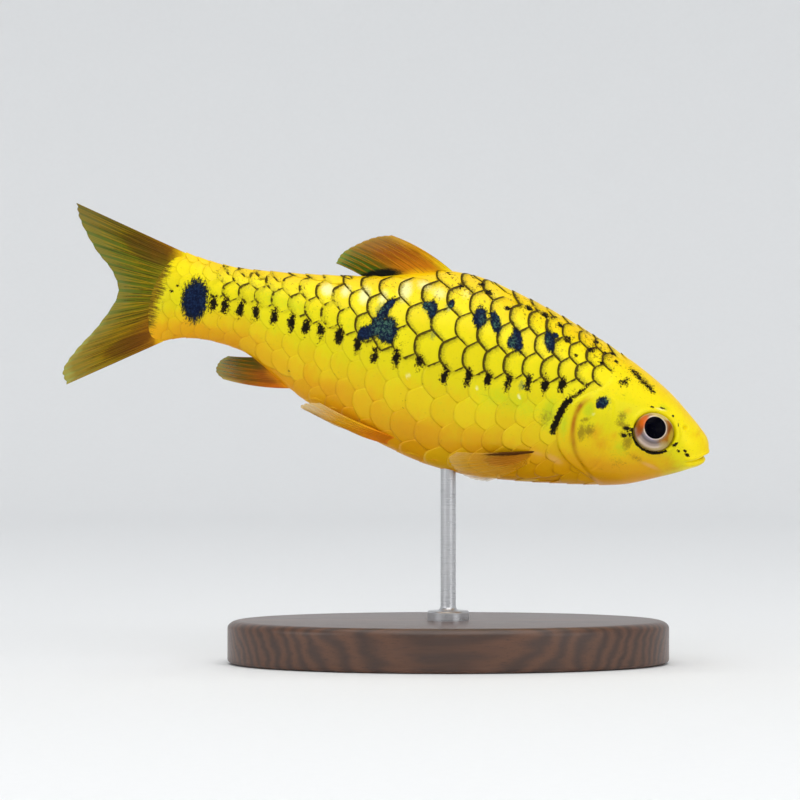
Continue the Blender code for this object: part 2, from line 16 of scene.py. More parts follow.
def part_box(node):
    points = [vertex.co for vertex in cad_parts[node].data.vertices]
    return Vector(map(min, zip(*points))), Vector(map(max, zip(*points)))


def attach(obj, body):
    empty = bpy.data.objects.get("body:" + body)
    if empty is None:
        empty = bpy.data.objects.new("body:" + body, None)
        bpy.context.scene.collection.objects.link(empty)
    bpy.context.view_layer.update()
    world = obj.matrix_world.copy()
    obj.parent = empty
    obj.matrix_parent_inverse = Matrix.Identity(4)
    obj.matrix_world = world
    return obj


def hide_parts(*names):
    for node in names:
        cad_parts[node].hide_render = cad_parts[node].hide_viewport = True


bl_info = {
    "name": "Gold Barb Model",
    "version": (1, 0, 0),
    "blender": (4, 5, 0),
    "location": "View3D > Sidebar > Gold Barb",
    "description": "Dresses a life-size gold barb with skin, scales, fins and eyes, on a display stand",
    "category": "Object",
}

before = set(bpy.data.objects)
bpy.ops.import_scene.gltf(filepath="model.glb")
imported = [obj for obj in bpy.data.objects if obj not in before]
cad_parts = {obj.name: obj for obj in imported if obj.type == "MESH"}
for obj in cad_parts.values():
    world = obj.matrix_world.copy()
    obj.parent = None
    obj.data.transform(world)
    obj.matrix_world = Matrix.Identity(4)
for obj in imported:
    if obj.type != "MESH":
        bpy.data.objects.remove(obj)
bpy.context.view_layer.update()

MM = 0.001
SEED = 41
RIGHT, LEFT = -1, 1

# Pose over the stand, as the solids have it
PITCH = math.radians(16.0)
SNOUT_X = 33.72
SNOUT_Z = 22.213

# Body outline from the side and from above: station, and height or half width
BACK = (
    (0.0, -0.25), (0.12, 0.5), (0.45, 1.12), (1.5, 2.05), (3.0, 3.1), (5.6, 4.72), (9.3, 6.4), (14.0, 8.05),
    (19.0, 9.42), (24.0, 10.38), (28.0, 10.82), (31.0, 10.6), (34.1, 9.62), (38.0, 8.12), (42.0, 6.98),
    (48.0, 5.62), (53.5, 4.76), (57.0, 4.78), (60.0, 5.05),
)
BELLY = (
    (0.0, -0.25), (0.12, -1.05), (0.45, -1.72), (1.4, -2.46), (3.2, -3.6), (6.0, -5.08), (10.0, -6.72),
    (14.0, -7.75), (20.0, -9.02), (24.5, -9.62), (28.5, -9.6), (33.0, -8.9), (37.7, -7.75), (41.5, -6.85),
    (43.5, -6.2), (45.5, -5.35), (47.1, -4.6), (49.0, -3.75), (51.5, -3.45), (54.0, -3.6), (56.0, -4.1),
    (57.6, -4.85), (60.0, -6.2),
)
HALF_WIDTH = (
    (0.0, 0.0), (0.12, 0.72), (0.45, 1.15), (1.5, 1.8), (3.2, 2.45), (6.0, 3.15), (9.0, 3.8), (12.5, 4.35),
    (17.0, 4.75), (22.0, 4.85), (28.0, 4.6), (34.0, 3.85), (40.0, 2.9), (46.0, 2.15), (52.0, 1.55),
    (56.0, 1.05), (60.0, 0.5),
)
WIDEST_SHARE = 0.46
BACK_SHARPNESS = 1.16
BELLY_SHARPNESS = 1.04
TRUNK_END = 48.7
TAIL_END = 58.7
TAIL_BOW = 0.75
SHEATH_START = 57.3
SHEATH_END = 60.0  # the skin thins out over the roots of the tail fin's rays
SHEATH_THINNING = 0.93

# Lines of the head
GILL_LINE = (
    (10.4, 9.5), (11.0, 7.4), (11.9, 5.2), (12.9, 3.1), (14.3, 1.95), (15.3, 0.75), (15.85, -1.0),
    (15.95, -2.6), (15.45, -4.0), (14.2, -5.15), (12.2, -6.0), (9.8, -6.85), (8.6, -8.2),
)
COVER_EDGE = (
    (12.5, 2.6), (13.5, 2.0), (14.3, 1.1), (14.7, -0.1), (14.65, -1.5), (14.2, -3.0), (13.5, -4.2),
    (12.5, -5.0), (11.2, -5.85), (10.2, -6.6),
)
COVER_FRONT = (
    (12.35, 3.0), (11.4, 1.9), (10.95, 0.4), (10.8, -1.4), (10.75, -3.2), (11.1, -4.8), (12.2, -5.7),
)
MOUTH_LINE = ((-0.8, 0.1), (0.3, -0.9), (1.0, -1.45), (1.7, -1.82), (2.4, -2.02))
NOSTRIL = (3.15, 1.55)
EYE_PLACE = (6.2, 0.2)
EYE_RADIUS = 2.2
EYE_FLATNESS = 0.9  # its height in widths
EYE_DEPTH = 1.0
EYE_SINK = 0.2
PUPIL_PLACE = (0.22, 0.4)  # from the middle of the eye, towards the tail and up
PUPIL_RADIUS = 1.17
HEAD_DEPTH = -0.04  # how the bare skin of the head lies to the smooth body
HEAD_REACH = 20.0  # the lines of the head aren't looked for behind this station

# Relief of the head: the rise of a swelling, its distance and its width
EYE_RIM = (0.15, 0.3, 0.26)
NOSTRIL_RIM = (0.06, 0.42, 0.14)
# The depth of a hollow, and the distances at which it starts and is full
SOCKET = (1.1, 0.12, -0.3)
NOSTRIL_PIT = (0.3, 0.34, 0.1)
NOSTRIL_FLATNESS = 0.8
LIP_CREST = (0.34, 0.22)  # distance from the line of the mouth, and width
MOUTH_CUTS = ((0.25, 0.08), (0.4, 0.15))  # depth and width along the whole line, and along the open part
NAPE = (2.6, 4.6)  # heights between which the sharp start of the scales turns into a soft one
SCALE_START = (0.1, 1.1)  # how soft it is, under the nape and on it
COVER_TOP = (2.9, 2.2)  # heights at which the gill cover's step fades in from above and from below
COVER_BOTTOM = (-6.9, -5.2)
COVER_GROOVE = (0.16, 0.16, 0.12)  # depth, distance behind the cover's edge, and width
BONE_STEP = 0.09
BONE_GROOVE = (0.07, 0.1, 0.1)
CREASE = (0.07, 0.13)  # depth and width

# Lattice of the scales: rear edges of the row under the dark line, by column number, and the row height
COLUMN_STATIONS = (
    (-5, 8.6), (-3, 11.6), (0, 16.8), (3, 22.3), (6, 28.7), (8, 33.9), (11, 40.1), (14, 45.5), (17, 50.8),
    (19, 54.0), (22, 58.0), (24, 60.4),
)
ROW_LINE = (
    (8.0, 4.4), (13.0, 3.4), (16.8, 2.7), (22.2, 1.5), (28.7, 0.65), (34.0, 0.75), (40.0, 1.45), (45.0, 1.7),
    (50.0, 1.6), (54.0, 1.2), (60.0, 0.7),
)
ROW_HEIGHT = (
    (8.0, 1.7), (12.0, 1.95), (17.0, 2.3), (23.0, 2.75), (28.0, 2.95), (34.0, 2.75), (38.0, 2.4),
    (45.0, 2.1), (52.0, 1.75), (60.0, 1.45),
)
ROW_LEAN = 0.13  # how far the columns lean to the tail for each millimetre up
SCALE_LENGTH = 1.95  # in column widths
FLAT_SHARE = 0.5  # the share of the free edge's half that is upright, and how round the corner is
FLAT_ROUNDING = 0.17
SLANT_SHARE = 0.85
RIM_WIDTHS = (0.27, 0.18)  # of the pigment line, at the middle and at the sides of the free edge
ROOT_DEPTH = 0.2  # the root of a scale lies this far under the smooth body
CROWN = 0.02
LIFT_SPREAD = 0.003

# Dark marks: station, height, half length, half height, turn of the top to the tail, and some a strength
BLUE_BLACK_MARKS = (
    (55.75, 0.25, 1.62, 2.65, 8), (35.65, 2.7, 1.3, 1.7, 6), (36.6, 2.9, 1.1, 1.2, 0),
    (37.5, 1.95, 0.8, 1.5, -38), (38.1, 1.7, 0.45, 0.9, 0), (36.6, 4.2, 0.6, 1.4, -15),
    (36.2, 5.3, 0.5, 1.2, -22), (31.77, 6.15, 0.62, 1.25, 8), (32.4, 6.3, 0.55, 0.5, 0),
    (30.0, 7.15, 0.42, 0.6, 0), (26.8, 6.65, 0.85, 1.4, 6), (25.1, 6.55, 0.6, 1.5, 28),
    (22.46, 5.4, 0.66, 1.6, 25), (22.95, 5.0, 0.6, 0.85, 0), (19.2, 6.25, 0.64, 1.4, 24),
    (18.75, 7.0, 0.4, 0.4, 0), (12.3, 1.6, 0.72, 0.72, 0), (12.6, 1.25, 0.42, 0.42, 0),
)
# Blue-grey haze beside them, in the same terms
HAZES = (
    (26.3, 6.5, 0.7, 0.95, 0), (24.9, 6.5, 0.9, 1.1, 20), (22.95, 5.1, 0.8, 1.2, 15),
    (19.6, 6.2, 0.7, 1.0, 20), (32.3, 6.1, 0.9, 0.9, 0), (31.0, 3.5, 0.6, 0.8, 0),
    (36.2, 2.9, 1.9, 2.0, -10), (36.9, 4.7, 0.8, 1.4, -20), (30.2, 6.9, 0.6, 0.6, 0),
    (12.0, 2.0, 0.8, 0.7, 0), (20.8, 1.0, 0.6, 0.9, 0),
)
BROWN_BLACK_MARKS = (
    (22.2, 9.05, 0.6, 0.34, 0), (30.0, 7.3, 0.3, 0.45, 0), (20.3, 8.8, 0.6, 0.3, -12),
    (18.5, 8.2, 0.55, 0.3, -12), (17.3, 7.0, 0.6, 0.4, 30), (27.5, 10.05, 0.5, 0.3, 0),
    (26.6, 9.4, 0.6, 0.35, 10), (32.4, -3.1, 0.14, 0.26, 0), (32.0, -3.8, 0.13, 0.22, 0),
    (31.9, -4.6, 0.11, 0.2, 0), (58.4, 0.5, 0.34, 0.2, 0), (57.9, 1.2, 0.24, 0.18, 0),
    (10.7, 4.2, 0.6, 0.55, 0, 0.55), (10.35, 4.65, 0.4, 0.32, 0, 0.55), (14.8, 6.6, 0.5, 0.4, 0),
    (13.2, 6.7, 0.45, 0.26, 20), (11.9, 6.2, 0.36, 0.2, 0), (13.4, 5.6, 0.36, 0.26, 0),
    (14.5, 7.6, 0.45, 0.26, 0), (12.5, 6.9, 0.3, 0.2, 0), (3.85, -0.5, 0.42, 0.2, 40),
    (3.25, -1.0, 0.22, 0.17, 0), (2.6, -0.8, 0.32, 0.14, 0), (2.15, -1.15, 0.34, 0.2, 0),
    (4.75, 2.35, 0.2, 0.17, 0), (7.1, 2.6, 0.3, 0.13, 0), (6.1, 2.8, 0.4, 0.12, 0),
    (4.0, 1.6, 0.14, 0.2, 0), (9.1, -0.25, 0.5, 0.26, 0), (9.2, -1.05, 0.5, 0.24, 0),
    (8.7, -0.75, 0.5, 0.2, -40), (16.8, 2.3, 0.5, 0.36, 0), (16.2, 5.6, 0.3, 0.3, 0),
    (24.3, 8.4, 0.5, 0.3, 0), (29.6, 9.3, 0.5, 0.4, 0),
)
DASHES = (
    (16.8, 2.2), (18.5, 1.7), (20.2, 1.5), (22.2, 1.0), (24.3, 0.7), (26.3, 0.3), (28.7, -0.1), (31.5, 0.5),
    (34.0, 0.2), (36.2, -0.1), (38.2, 0.4), (40.3, 0.8), (42.3, 0.7), (43.9, 0.6), (45.4, 0.7), (47.3, 0.9),
    (49.3, 0.8), (50.9, 0.7), (52.5, 0.5), (53.8, 0.4),
)
DASH_SIZE = (0.52, 1.15)
DASH_TURN = 4
# Dark bars along a line, half their width and how dense they are
BARS = (
    (((14.18, 2.95), (14.67, 2.28), (15.2, 1.55), (15.75, 0.8)), 0.38, -0.32),
    (((15.6, 0.9), (16.01, 0.19), (16.16, -0.55), (16.27, -1.3), (16.36, -2.0), (16.4, -2.6)), 0.37, 0.22),
    (((10.0, 5.7), (9.3, 5.25), (8.4, 4.75), (7.4, 4.3)), 0.8, -0.52),
)
# Painted socket shadow, dark under the eye: how far outside its rim it runs, its ends in degrees, and its
# bar
SOCKET_SHADOW_GAP = 0.2
SOCKET_SHADOW_ENDS = (-8, -134)
SOCKET_SHADOW_BAR = (0.12, 0.3)

# Soft patches of other colours: station, height, half length, half height, turn and strength
GREEN_PATCHES = (
    (13.45, 0.5, 0.9, 1.2, 20, 1.0), (12.9, -1.3, 0.7, 1.3, 10, 0.4), (9.9, 0.8, 0.9, 1.1, 0, 0.5),
    (47.0, 2.6, 7.0, 1.6, 0, 0.55), (22.0, -0.8, 6.0, 1.8, 0, 0.5), (17.3, -0.9, 1.2, 2.4, 0, 0.85),
    (9.2, -2.3, 1.4, 1.5, 0, 0.5), (38.0, 2.5, 7.0, 2.6, 0, 0.3), (24.0, 3.0, 7.0, 3.0, 0, 0.15),
    (15.55, -1.6, 0.7, 2.4, 10, 0.75), (5.9, 2.9, 1.2, 0.5, 0, 0.6),
)
ORANGE_PATCHES = (
    (14.6, -1.5, 0.3, 2.7, 6, 0.8), (11.0, -4.6, 4.0, 1.9, -12, 0.5), (7.0, -2.9, 2.6, 1.0, -12, 0.5),
    (9.6, 1.5, 0.7, 0.6, 0, 0.4), (20.0, -6.3, 7.0, 2.6, 0, 0.45), (30.0, -7.2, 7.0, 2.2, 0, 0.5),
    (40.0, -5.2, 6.0, 1.6, 20, 0.55), (50.0, -2.9, 8.0, 1.3, 0, 0.45), (1.5, 1.6, 1.6, 0.6, 45, 0.3),
    (33.6, -7.6, 1.6, 0.6, 15, 0.8), (12.2, -1.6, 1.3, 1.6, 0, 0.6), (10.2, -1.3, 0.7, 0.8, 0, 0.5),
    (3.6, -2.7, 2.6, 1.3, -30, 0.5), (11.3, -2.6, 1.6, 1.6, 0, 0.6),
)
OLIVE_PATCHES = (
    (13.5, -0.55, 0.9, 0.34, 25, 0.8), (13.55, -1.9, 0.6, 1.3, 14, 1.0), (12.9, -1.5, 0.95, 1.1, 0, 0.8),
    (9.95, 0.85, 0.75, 0.8, 0, 0.8), (9.9, 0.1, 0.9, 0.7, 0, 0.7), (8.65, -1.6, 0.8, 1.2, 0, 0.9),
    (9.3, -0.1, 0.65, 0.55, 0, 0.9), (9.3, -0.95, 0.7, 0.55, 0, 0.95), (17.5, -1.6, 1.1, 1.8, 0, 0.5),
    (12.6, -4.9, 1.3, 0.16, -42, 0.6), (11.2, -6.1, 1.0, 0.16, -38, 0.6), (14.5, 0.7, 0.6, 0.5, 30, 0.6),
    (7.4, -2.9, 1.8, 0.45, -10, 0.5), (9.1, -3.8, 1.6, 1.2, 0, 0.3), (50.0, 3.6, 3.0, 0.8, 0, 0.25),
    (8.6, 5.0, 2.0, 0.5, -27, 0.9), (10.55, 4.35, 0.55, 0.55, 0, 0.8), (10.3, 3.0, 0.5, 0.2, 0, 0.6),
)
PINK_PATCHES = (
    (5.6, -3.3, 1.6, 0.3, -8, 0.8), (10.5, -6.2, 2.0, 0.3, -20, 0.7), (15.4, -5.4, 1.4, 0.5, -15, 0.8),
    (17.3, -5.3, 1.2, 0.4, 0, 0.5),
)
SPECKLED_PATCHES = (
    (14.0, 7.0, 5.0, 2.0, -25, 1.0), (21.5, 8.9, 6.0, 1.6, -12, 1.0), (29.0, 9.0, 5.0, 1.8, 0, 0.9),
    (20.0, 6.5, 4.0, 2.0, -12, 0.5), (32.5, 6.6, 3.0, 2.0, 0, 0.5), (36.5, 7.6, 5.0, 1.0, 0, 0.7),
    (9.0, 5.1, 2.4, 0.7, -33, 1.0), (10.6, 4.2, 0.6, 0.7, 0, 0.9), (9.0, -0.4, 0.8, 1.4, 0, 0.6),
    (15.6, 1.6, 0.7, 1.6, 25, 0.8), (50.0, 4.2, 8.0, 1.0, 5, 0.6), (36.0, 2.2, 3.6, 3.4, 0, 0.55),
    (42.0, 3.0, 5.0, 1.6, 0, 0.4),
)
# Pearly patches: silvery scales and skin, with their glints painted in as a pale colour
PEARL_GLINT_PATCHES = (
    (42.8, 5.1, 1.1, 1.1, 0, 1.0), (40.9, 5.5, 0.9, 1.2, 0, 0.9), (38.9, 5.6, 1.0, 1.6, 0, 1.0),
    (37.0, 5.9, 0.9, 1.4, 0, 0.8), (35.0, 7.2, 1.1, 2.0, 0, 1.0), (31.5, 7.9, 1.4, 1.2, 0, 0.7),
    (28.8, 8.6, 1.2, 1.2, 0, 0.45), (25.8, 9.4, 1.4, 0.9, 0, 0.3), (33.2, 8.3, 1.4, 1.0, 0, 0.8),
    (30.2, 6.6, 0.5, 0.5, 0, 0.8), (32.3, -1.25, 0.3, 0.6, 10, 1.0), (25.1, -0.5, 0.28, 0.4, 0, 1.0),
    (20.7, -0.2, 0.22, 0.55, 10, 1.0), (6.2, 2.62, 1.0, 0.22, 0, 0.75), (12.9, 0.2, 0.5, 0.3, 40, 0.5),
    (15.35, 0.75, 0.14, 0.3, 40, 0.8),
)
# The fields that the patches make, and the number that each adds to the seed of the left side
SOFT_FIELDS = (
    ("haze", HAZES, 0), ("green_sheen", GREEN_PATCHES, 2), ("orange_flush", ORANGE_PATCHES, 3),
    ("pink_flush", PINK_PATCHES, 4), ("pearl", PEARL_GLINT_PATCHES, 5), ("speckled", SPECKLED_PATCHES, 6),
    ("olive_shade", OLIVE_PATCHES, 7),
)
SHIFT = 0.45  # spread of the left side's marks, in their half sizes
RESIZE = (0.8, 1.2)

# Fins: run of the root, points of the free edge, bow of the rays, and lift off the flank at root and tip
DORSAL_ROOT = (30.1, 39.0)
DORSAL_TIPS = ((38.0, 12.4), (39.6, 11.72), (41.2, 10.5), (42.4, 9.2), (42.75, 7.98))
DORSAL_BOW = (0.45, 0.1)
ANAL_ROOT = (43.3, 47.9)
ANAL_TIPS = ((50.8, -6.85), (51.6, -6.4), (51.75, -5.7), (51.5, -5.0), (50.9, -4.4))
ANAL_BOW = (-0.3, -0.05)
TAIL_ROOT = (4.65, -4.8)  # heights of the first and last ray of the tail fin
TAIL_TIPS = (
    (70.5, 6.6), (69.6, 4.95), (67.3, 2.5), (64.9, 0.7), (63.75, -1.5), (64.8, -5.1), (66.3, -8.1),
    (67.1, -10.6), (66.3, -11.95),
)
PELVIC_ROOT = ((31.0, -8.05), (31.6, -8.95))
PELVIC_TIPS = ((40.2, -5.95), (41.5, -6.25), (42.0, -6.55), (41.3, -6.75), (39.6, -7.05))
PELVIC_LIFT = (-0.45, 0.95)
PECTORAL_ROOT = ((16.9, -5.0), (17.4, -6.35))
PECTORAL_TIPS = ((25.4, -6.9), (25.9, -7.6), (25.0, -8.35), (23.3, -8.7), (21.6, -8.5))
PECTORAL_LIFT = (-0.45, 1.25)
ROOT_SINK = 0.55  # the rays start this far inside the flesh
WEB_SHORT = 0.012  # the share of a ray's length by which the web between two rays falls short
FRAYING = 0.009

# Stand
ROD_RADIUS = 0.8
ROD_FOOT_RADIUS = 2.2
ROD_FOOT_HEIGHT = 1.0
ROD_FOOT_CHAMFER = 0.15
ROD_FOOT_SINK = 0.32  # the foot reaches this far below the solid's, into the base
SHAFT_START = 2.0  # height over the underside of the foot
ROD_FILLET = 0.5
ROD_SINK = 0.9  # the rod goes this far into the belly
BASE_EDGE = 0.8
FOOT_EDGE_SHARE = 0.6  # the base's lower edge has this share of its upper edge's rounding

# Stage
SKY = (0.9, 0.95, 1.0, 1.0)
SKY_STRENGTH = 0.2
PHOTO_WIDTH = 800
SNOUT_PIXELS = (309, 50)  # where the snout is, right of the photograph's middle and below it


def smooth_curve(points, blunt_start=False):
    """A smooth function through the points, for arrays. With blunt_start it is blunt at 0, as a snout is."""
    keys = np.array([p[0] for p in points], float)
    values = np.array([p[1] for p in points], float)
    if blunt_start:
        keys = np.sqrt(keys)
    slopes = np.gradient(values, keys)

    def value(at):
        at = np.asarray(at, float)
        at = np.sqrt(np.maximum(at, 0.0)) if blunt_start else at
        at = np.clip(at, keys[0], keys[-1])
        k = np.clip(np.searchsorted(keys, at, side="right") - 1, 0, len(keys) - 2)
        width = keys[k + 1] - keys[k]
        t = (at - keys[k]) / width
        return (
            (2 * t**3 - 3 * t**2 + 1) * values[k]
            + (t**3 - 2 * t**2 + t) * width * slopes[k]
            + (3 * t**2 - 2 * t**3) * values[k + 1]
            + (t**3 - t**2) * width * slopes[k + 1]
        )

    return value


back = smooth_curve(BACK, blunt_start=True)
belly = smooth_curve(BELLY, blunt_start=True)
half_width = smooth_curve(HALF_WIDTH, blunt_start=True)
column_station = smooth_curve(COLUMN_STATIONS)
row_line = smooth_curve(ROW_LINE)
row_height = smooth_curve(ROW_HEIGHT)


def smoothstep(low, high, value):
    t = np.clip((value - low) / (high - low), 0.0, 1.0)
    return t * t * (3 - 2 * t)


def mix(first, second, share):
    return first + (second - first) * share


def tail_bow(height):
    """How far the rear end of the tail stalk stands back at a height."""
    top, bottom = back(TAIL_END), belly(TAIL_END)
    return TAIL_BOW * (1 - ((height - (top + bottom) / 2) / ((top - bottom) / 2)) ** 2)


def body_point(station, angle):
    """Points (-station, side, height) on the body. The angle is 0 at the back and runs by the left side."""
    top, bottom = back(station), belly(station)
    middle = mix(bottom, top, WIDEST_SHARE)
    rise, across = np.cos(angle), np.sin(angle)
    reach = np.where(rise > 0, top - middle, middle - bottom)
    power = np.where(rise > 0, BACK_SHARPNESS, BELLY_SHARPNESS)
    side = np.sign(across) * np.abs(across) ** power * half_width(station)
    height = middle + rise * reach
    share = np.maximum(0.0, (station - TRUNK_END) / (TAIL_END - TRUNK_END))
    behind = tail_bow(height) * share**2
    return np.stack(np.broadcast_arrays(-station - behind, side, height), axis=-1)


def unit(vectors):
    size = np.linalg.norm(vectors, axis=-1, keepdims=True)
    return vectors / np.maximum(size, 1e-9)


def body_normal(station, angle):
    """The outward normal of the body."""
    step = 0.02
    along = body_point(station - step, angle) - body_point(station + step, angle)
    around = body_point(station, angle + step) - body_point(station, angle - step)
    return unit(np.cross(along, around))


def angle_at(station, height):
    """The angle at which the left side of a section passes a height."""
    top, bottom = back(station), belly(station)
    middle = mix(bottom, top, WIDEST_SHARE)
    reach = np.where(height > middle, top - middle, middle - bottom)
    return np.arccos(np.clip((height - middle) / np.maximum(reach, 1e-6), -1.0, 1.0))


def sheath_share(station):
    """How much of its width the flesh keeps where it thins out over the rays of the tail fin."""
    return 1 - SHEATH_THINNING * smoothstep(SHEATH_START, SHEATH_END, station)


def to_line(points, station, height):
    """Distance to a line of points, negative on the right of it as it runs, and the share of its length."""
    best = np.full(np.shape(station), 1e9)
    sign = np.ones(np.shape(station))
    share = np.zeros(np.shape(station))
    line = np.array(points, float)
    lengths = np.linalg.norm(np.diff(line, axis=0), axis=1)
    starts = np.concatenate(([0.0], np.cumsum(lengths)))
    for k, (first, last) in enumerate(zip(line, line[1:])):
        dx, dy = (last - first) / lengths[k]
        px, py = station - first[0], height - first[1]
        reach = np.clip(px * dx + py * dy, 0.0, lengths[k])
        away = np.hypot(px - reach * dx, py - reach * dy)
        near = away < best
        best = np.where(near, away, best)
        sign = np.where(near, np.sign(dx * py - dy * px), sign)
        share = np.where(near, (starts[k] + reach) / starts[-1], share)
    return best * sign, share


def smooth_line(points, count):
    """Points spaced evenly along a smooth line through the given ones."""
    steps = np.arange(len(points), dtype=float)
    even = np.linspace(0, steps[-1], count)
    axes = [smooth_curve(tuple(zip(steps, values)))(even) for values in zip(*points)]
    return np.stack(axes, axis=-1)


def bump(distance, width):
    return np.exp(-((distance / width) ** 2))


def in_front_of_gills(station, height):
    """Millimetres in front of the gill opening, negative behind it."""
    away, _ = to_line(smooth_line(GILL_LINE, 40), station, height)
    return np.where(station < HEAD_REACH, -away, -9.0)


# Markings, worked out for any point of the flank so that skin and scales carry the same ones


def patch(station, height, place):
    """1 at the middle of an oval place and 0 at its edge, negative outside."""
    middle_station, middle_height, half_length, half_height, turn = place[:5]
    angle = math.radians(turn)
    along, up = station - middle_station, height - middle_height
    x = along * math.cos(angle) - up * math.sin(angle)
    y = along * math.sin(angle) + up * math.cos(angle)
    return 1 - np.hypot(x / half_length, y / half_height)


def shifted(places, seed):
    """The same marks a little moved and resized, for the fish's other side."""
    draw = np.random.default_rng(seed)
    moved = []
    for station, height, half_length, half_height, *rest in places:
        away = draw.normal(0.0, SHIFT, 2) * min(half_length, half_height, 1.0)
        scale = draw.uniform(*RESIZE)
        moved.append((station + away[0], height + away[1], half_length * scale, half_height * scale, *rest))
    return tuple(moved)


def strongest(places, station, height):
    value = np.full(np.shape(station), -1.0)
    for place in places:
        strength = place[5] if len(place) > 5 else 1.0
        spot = patch(station, height, place)
        value = np.maximum(value, np.where(spot > 0, spot * strength, spot))
    return value


def both_sides(places, station, side, height, seed):
    right = strongest(places, station, height)
    left = strongest(shifted(places, seed), station, height)
    return np.where(side <= 0, right, left)


def socket_shadow_line():
    """Points of the line under the eye, along which the socket's shadow is painted."""
    radius = EYE_RADIUS + SOCKET_SHADOW_GAP
    x, y = radius, radius * EYE_FLATNESS
    turns = np.radians(np.linspace(*SOCKET_SHADOW_ENDS, 9))
    return [(EYE_PLACE[0] + x * math.cos(t), EYE_PLACE[1] + y * math.sin(t)) for t in turns]


def brown_black(station, side, height):
    """The brown-black spots, dashes and bars, and the socket's shadow painted as a dark bar under the eye.
    """
    dashes = tuple((*place, *DASH_SIZE, DASH_TURN) for place in DASHES)
    value = both_sides(BROWN_BLACK_MARKS + dashes, station, side, height, SEED + 1)
    # The last bar is the socket's shadow, painted dark under the eye.
    for line, half_bar, density in (*BARS, (socket_shadow_line(), *SOCKET_SHADOW_BAR)):
        away, _ = to_line(line, station, height)
        inside = 1 - np.abs(away) / half_bar
        value = np.maximum(value, np.where(inside > -1 - density, inside + density, -1.0))
    return value


def bone_edge(station, height):
    """The reddish edge of the gill cover's bone."""
    away, share = to_line(smooth_line(COVER_EDGE, 30), station, height)
    value = bump(away + 0.12, 0.26) * smoothstep(0.05, 0.25, share) * smoothstep(0.9, 0.45, share)
    return np.where(station < HEAD_REACH, value, 0.0)


def belly_to_back(station, height):
    """0 at the belly and 1 at the back. The snout counts as back."""
    level = (height - belly(station)) / np.maximum(back(station) - belly(station), 0.1)
    return mix(np.maximum(level, 0.9), level, smoothstep(0.5, 5.5, station))


def markings(station, side, height):
    """Named fields of the pattern. The dark marks are positive inside, and the others run from 0 to 1."""
    fields = {
        "tail_shade": smoothstep(58.2, 60.4, station),
        "blue_black": both_sides(BLUE_BLACK_MARKS, station, side, height, SEED),
        # brown_black also carries the painted shadow under the eye.
        "brown_black": brown_black(station, side, height),
        "bone_edge": bone_edge(station, height),
        "level": belly_to_back(station, height),
    }
    for name, places, number in SOFT_FIELDS:
        fields[name] = np.clip(both_sides(places, station, side, height, SEED + number), 0, 1)
    return fields


# Meshes


def new_piece(name, points, faces, fields, uv=None):
    """An object of the fish from points in millimetres, with named fields and a UV on its points."""
    mesh = bpy.data.meshes.new(name)
    mesh.from_pydata((np.asarray(points) * MM).tolist(), [], [tuple(face) for face in faces])
    for field, values in fields.items():
        values = np.asarray(values, np.float32)
        if values.ndim == 2:
            mesh.attributes.new(field, "FLOAT_VECTOR", "POINT").data.foreach_set("vector", values.ravel())
        else:
            mesh.attributes.new(field, "FLOAT", "POINT").data.foreach_set("value", values.ravel())
    if uv is not None:
        layer = mesh.uv_layers.new(name="OFBake")
        corners = np.empty(len(mesh.loops), np.int32)
        mesh.loops.foreach_get("vertex_index", corners)
        layer.data.foreach_set("uv", np.asarray(uv, np.float32)[corners].ravel())
    mesh.shade_smooth()
    mesh.validate()
    made = bpy.data.objects.new(name, mesh)
    bpy.context.scene.collection.objects.link(made)
    return made


def pose_fish(piece):
    """Puts a piece from the fish's frame over the stand."""
    piece.location = (SNOUT_X * MM, 0.0, SNOUT_Z * MM)
    piece.rotation_euler = (0.0, PITCH, 0.0)
    bpy.context.view_layer.update()


def dress(piece, material, slot, *nodes):
    """Gives a piece its material, its body and the nodes that it stands for. slot is not used."""
    piece.data.materials.append(material)
    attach(piece, "root")
    if nodes:
        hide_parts(*nodes)


def grid_faces(rows, columns, start=0, closed=False, flip=False):
    """Quads over a grid of points that runs row by row."""
    faces = []
    for i in range(rows - 1):
        for j in range(columns if closed else columns - 1):
            right = (j + 1) % columns
            face = [start + i * columns + j, start + i * columns + right]
            face += [start + (i + 1) * columns + right, start + (i + 1) * columns + j]
            faces.append(face[::-1] if flip else face)
    return faces


def shell_faces(rows, columns):
    """Faces of a closed shell whose two sides are grids, the second following the first."""
    count = rows * columns
    faces = grid_faces(rows, columns) + grid_faces(rows, columns, start=count, flip=True)
    last = (rows - 1) * columns
    rim = list(range(columns)) + [i * columns + columns - 1 for i in range(1, rows)]
    rim += [last + j for j in range(columns - 2, -1, -1)]
    rim += [i * columns for i in range(rows - 2, 0, -1)]
    for first, second in zip(rim, rim[1:] + rim[:1]):
        faces.append((second, first, first + count, second + count))
    return faces


def uv_places(u, *rows):
    """UV places of grids of points that share their u, with one grid for each v."""
    return np.concatenate([np.stack((u, v), -1).reshape(-1, 2) for v in rows])


# Shader building


class Value:
    """A socket of a material's node tree that can be used in sums."""

    def __init__(self, paint, socket):
        self.paint = paint
        self.socket = socket

    def math(self, operation, *others):
        return self.paint.node("ShaderNodeMath", {"operation": operation}, *(self, *others))

    def __add__(self, other):
        return self.math("ADD", other)

    __radd__ = __add__

    def __mul__(self, other):
        return self.math("MULTIPLY", other)

    def __sub__(self, other):
        return self.math("SUBTRACT", other)

    def __rsub__(self, other):
        return self.paint.node("ShaderNodeMath", {"operation": "SUBTRACT"}, other, self)

    def __truediv__(self, other):
        return self.math("DIVIDE", other)

    def clamped(self):
        return self.paint.node("ShaderNodeMath", {"operation": "ADD", "use_clamp": True}, self, 0.0)

    def at_least(self, other):
        return self.math("MAXIMUM", other)


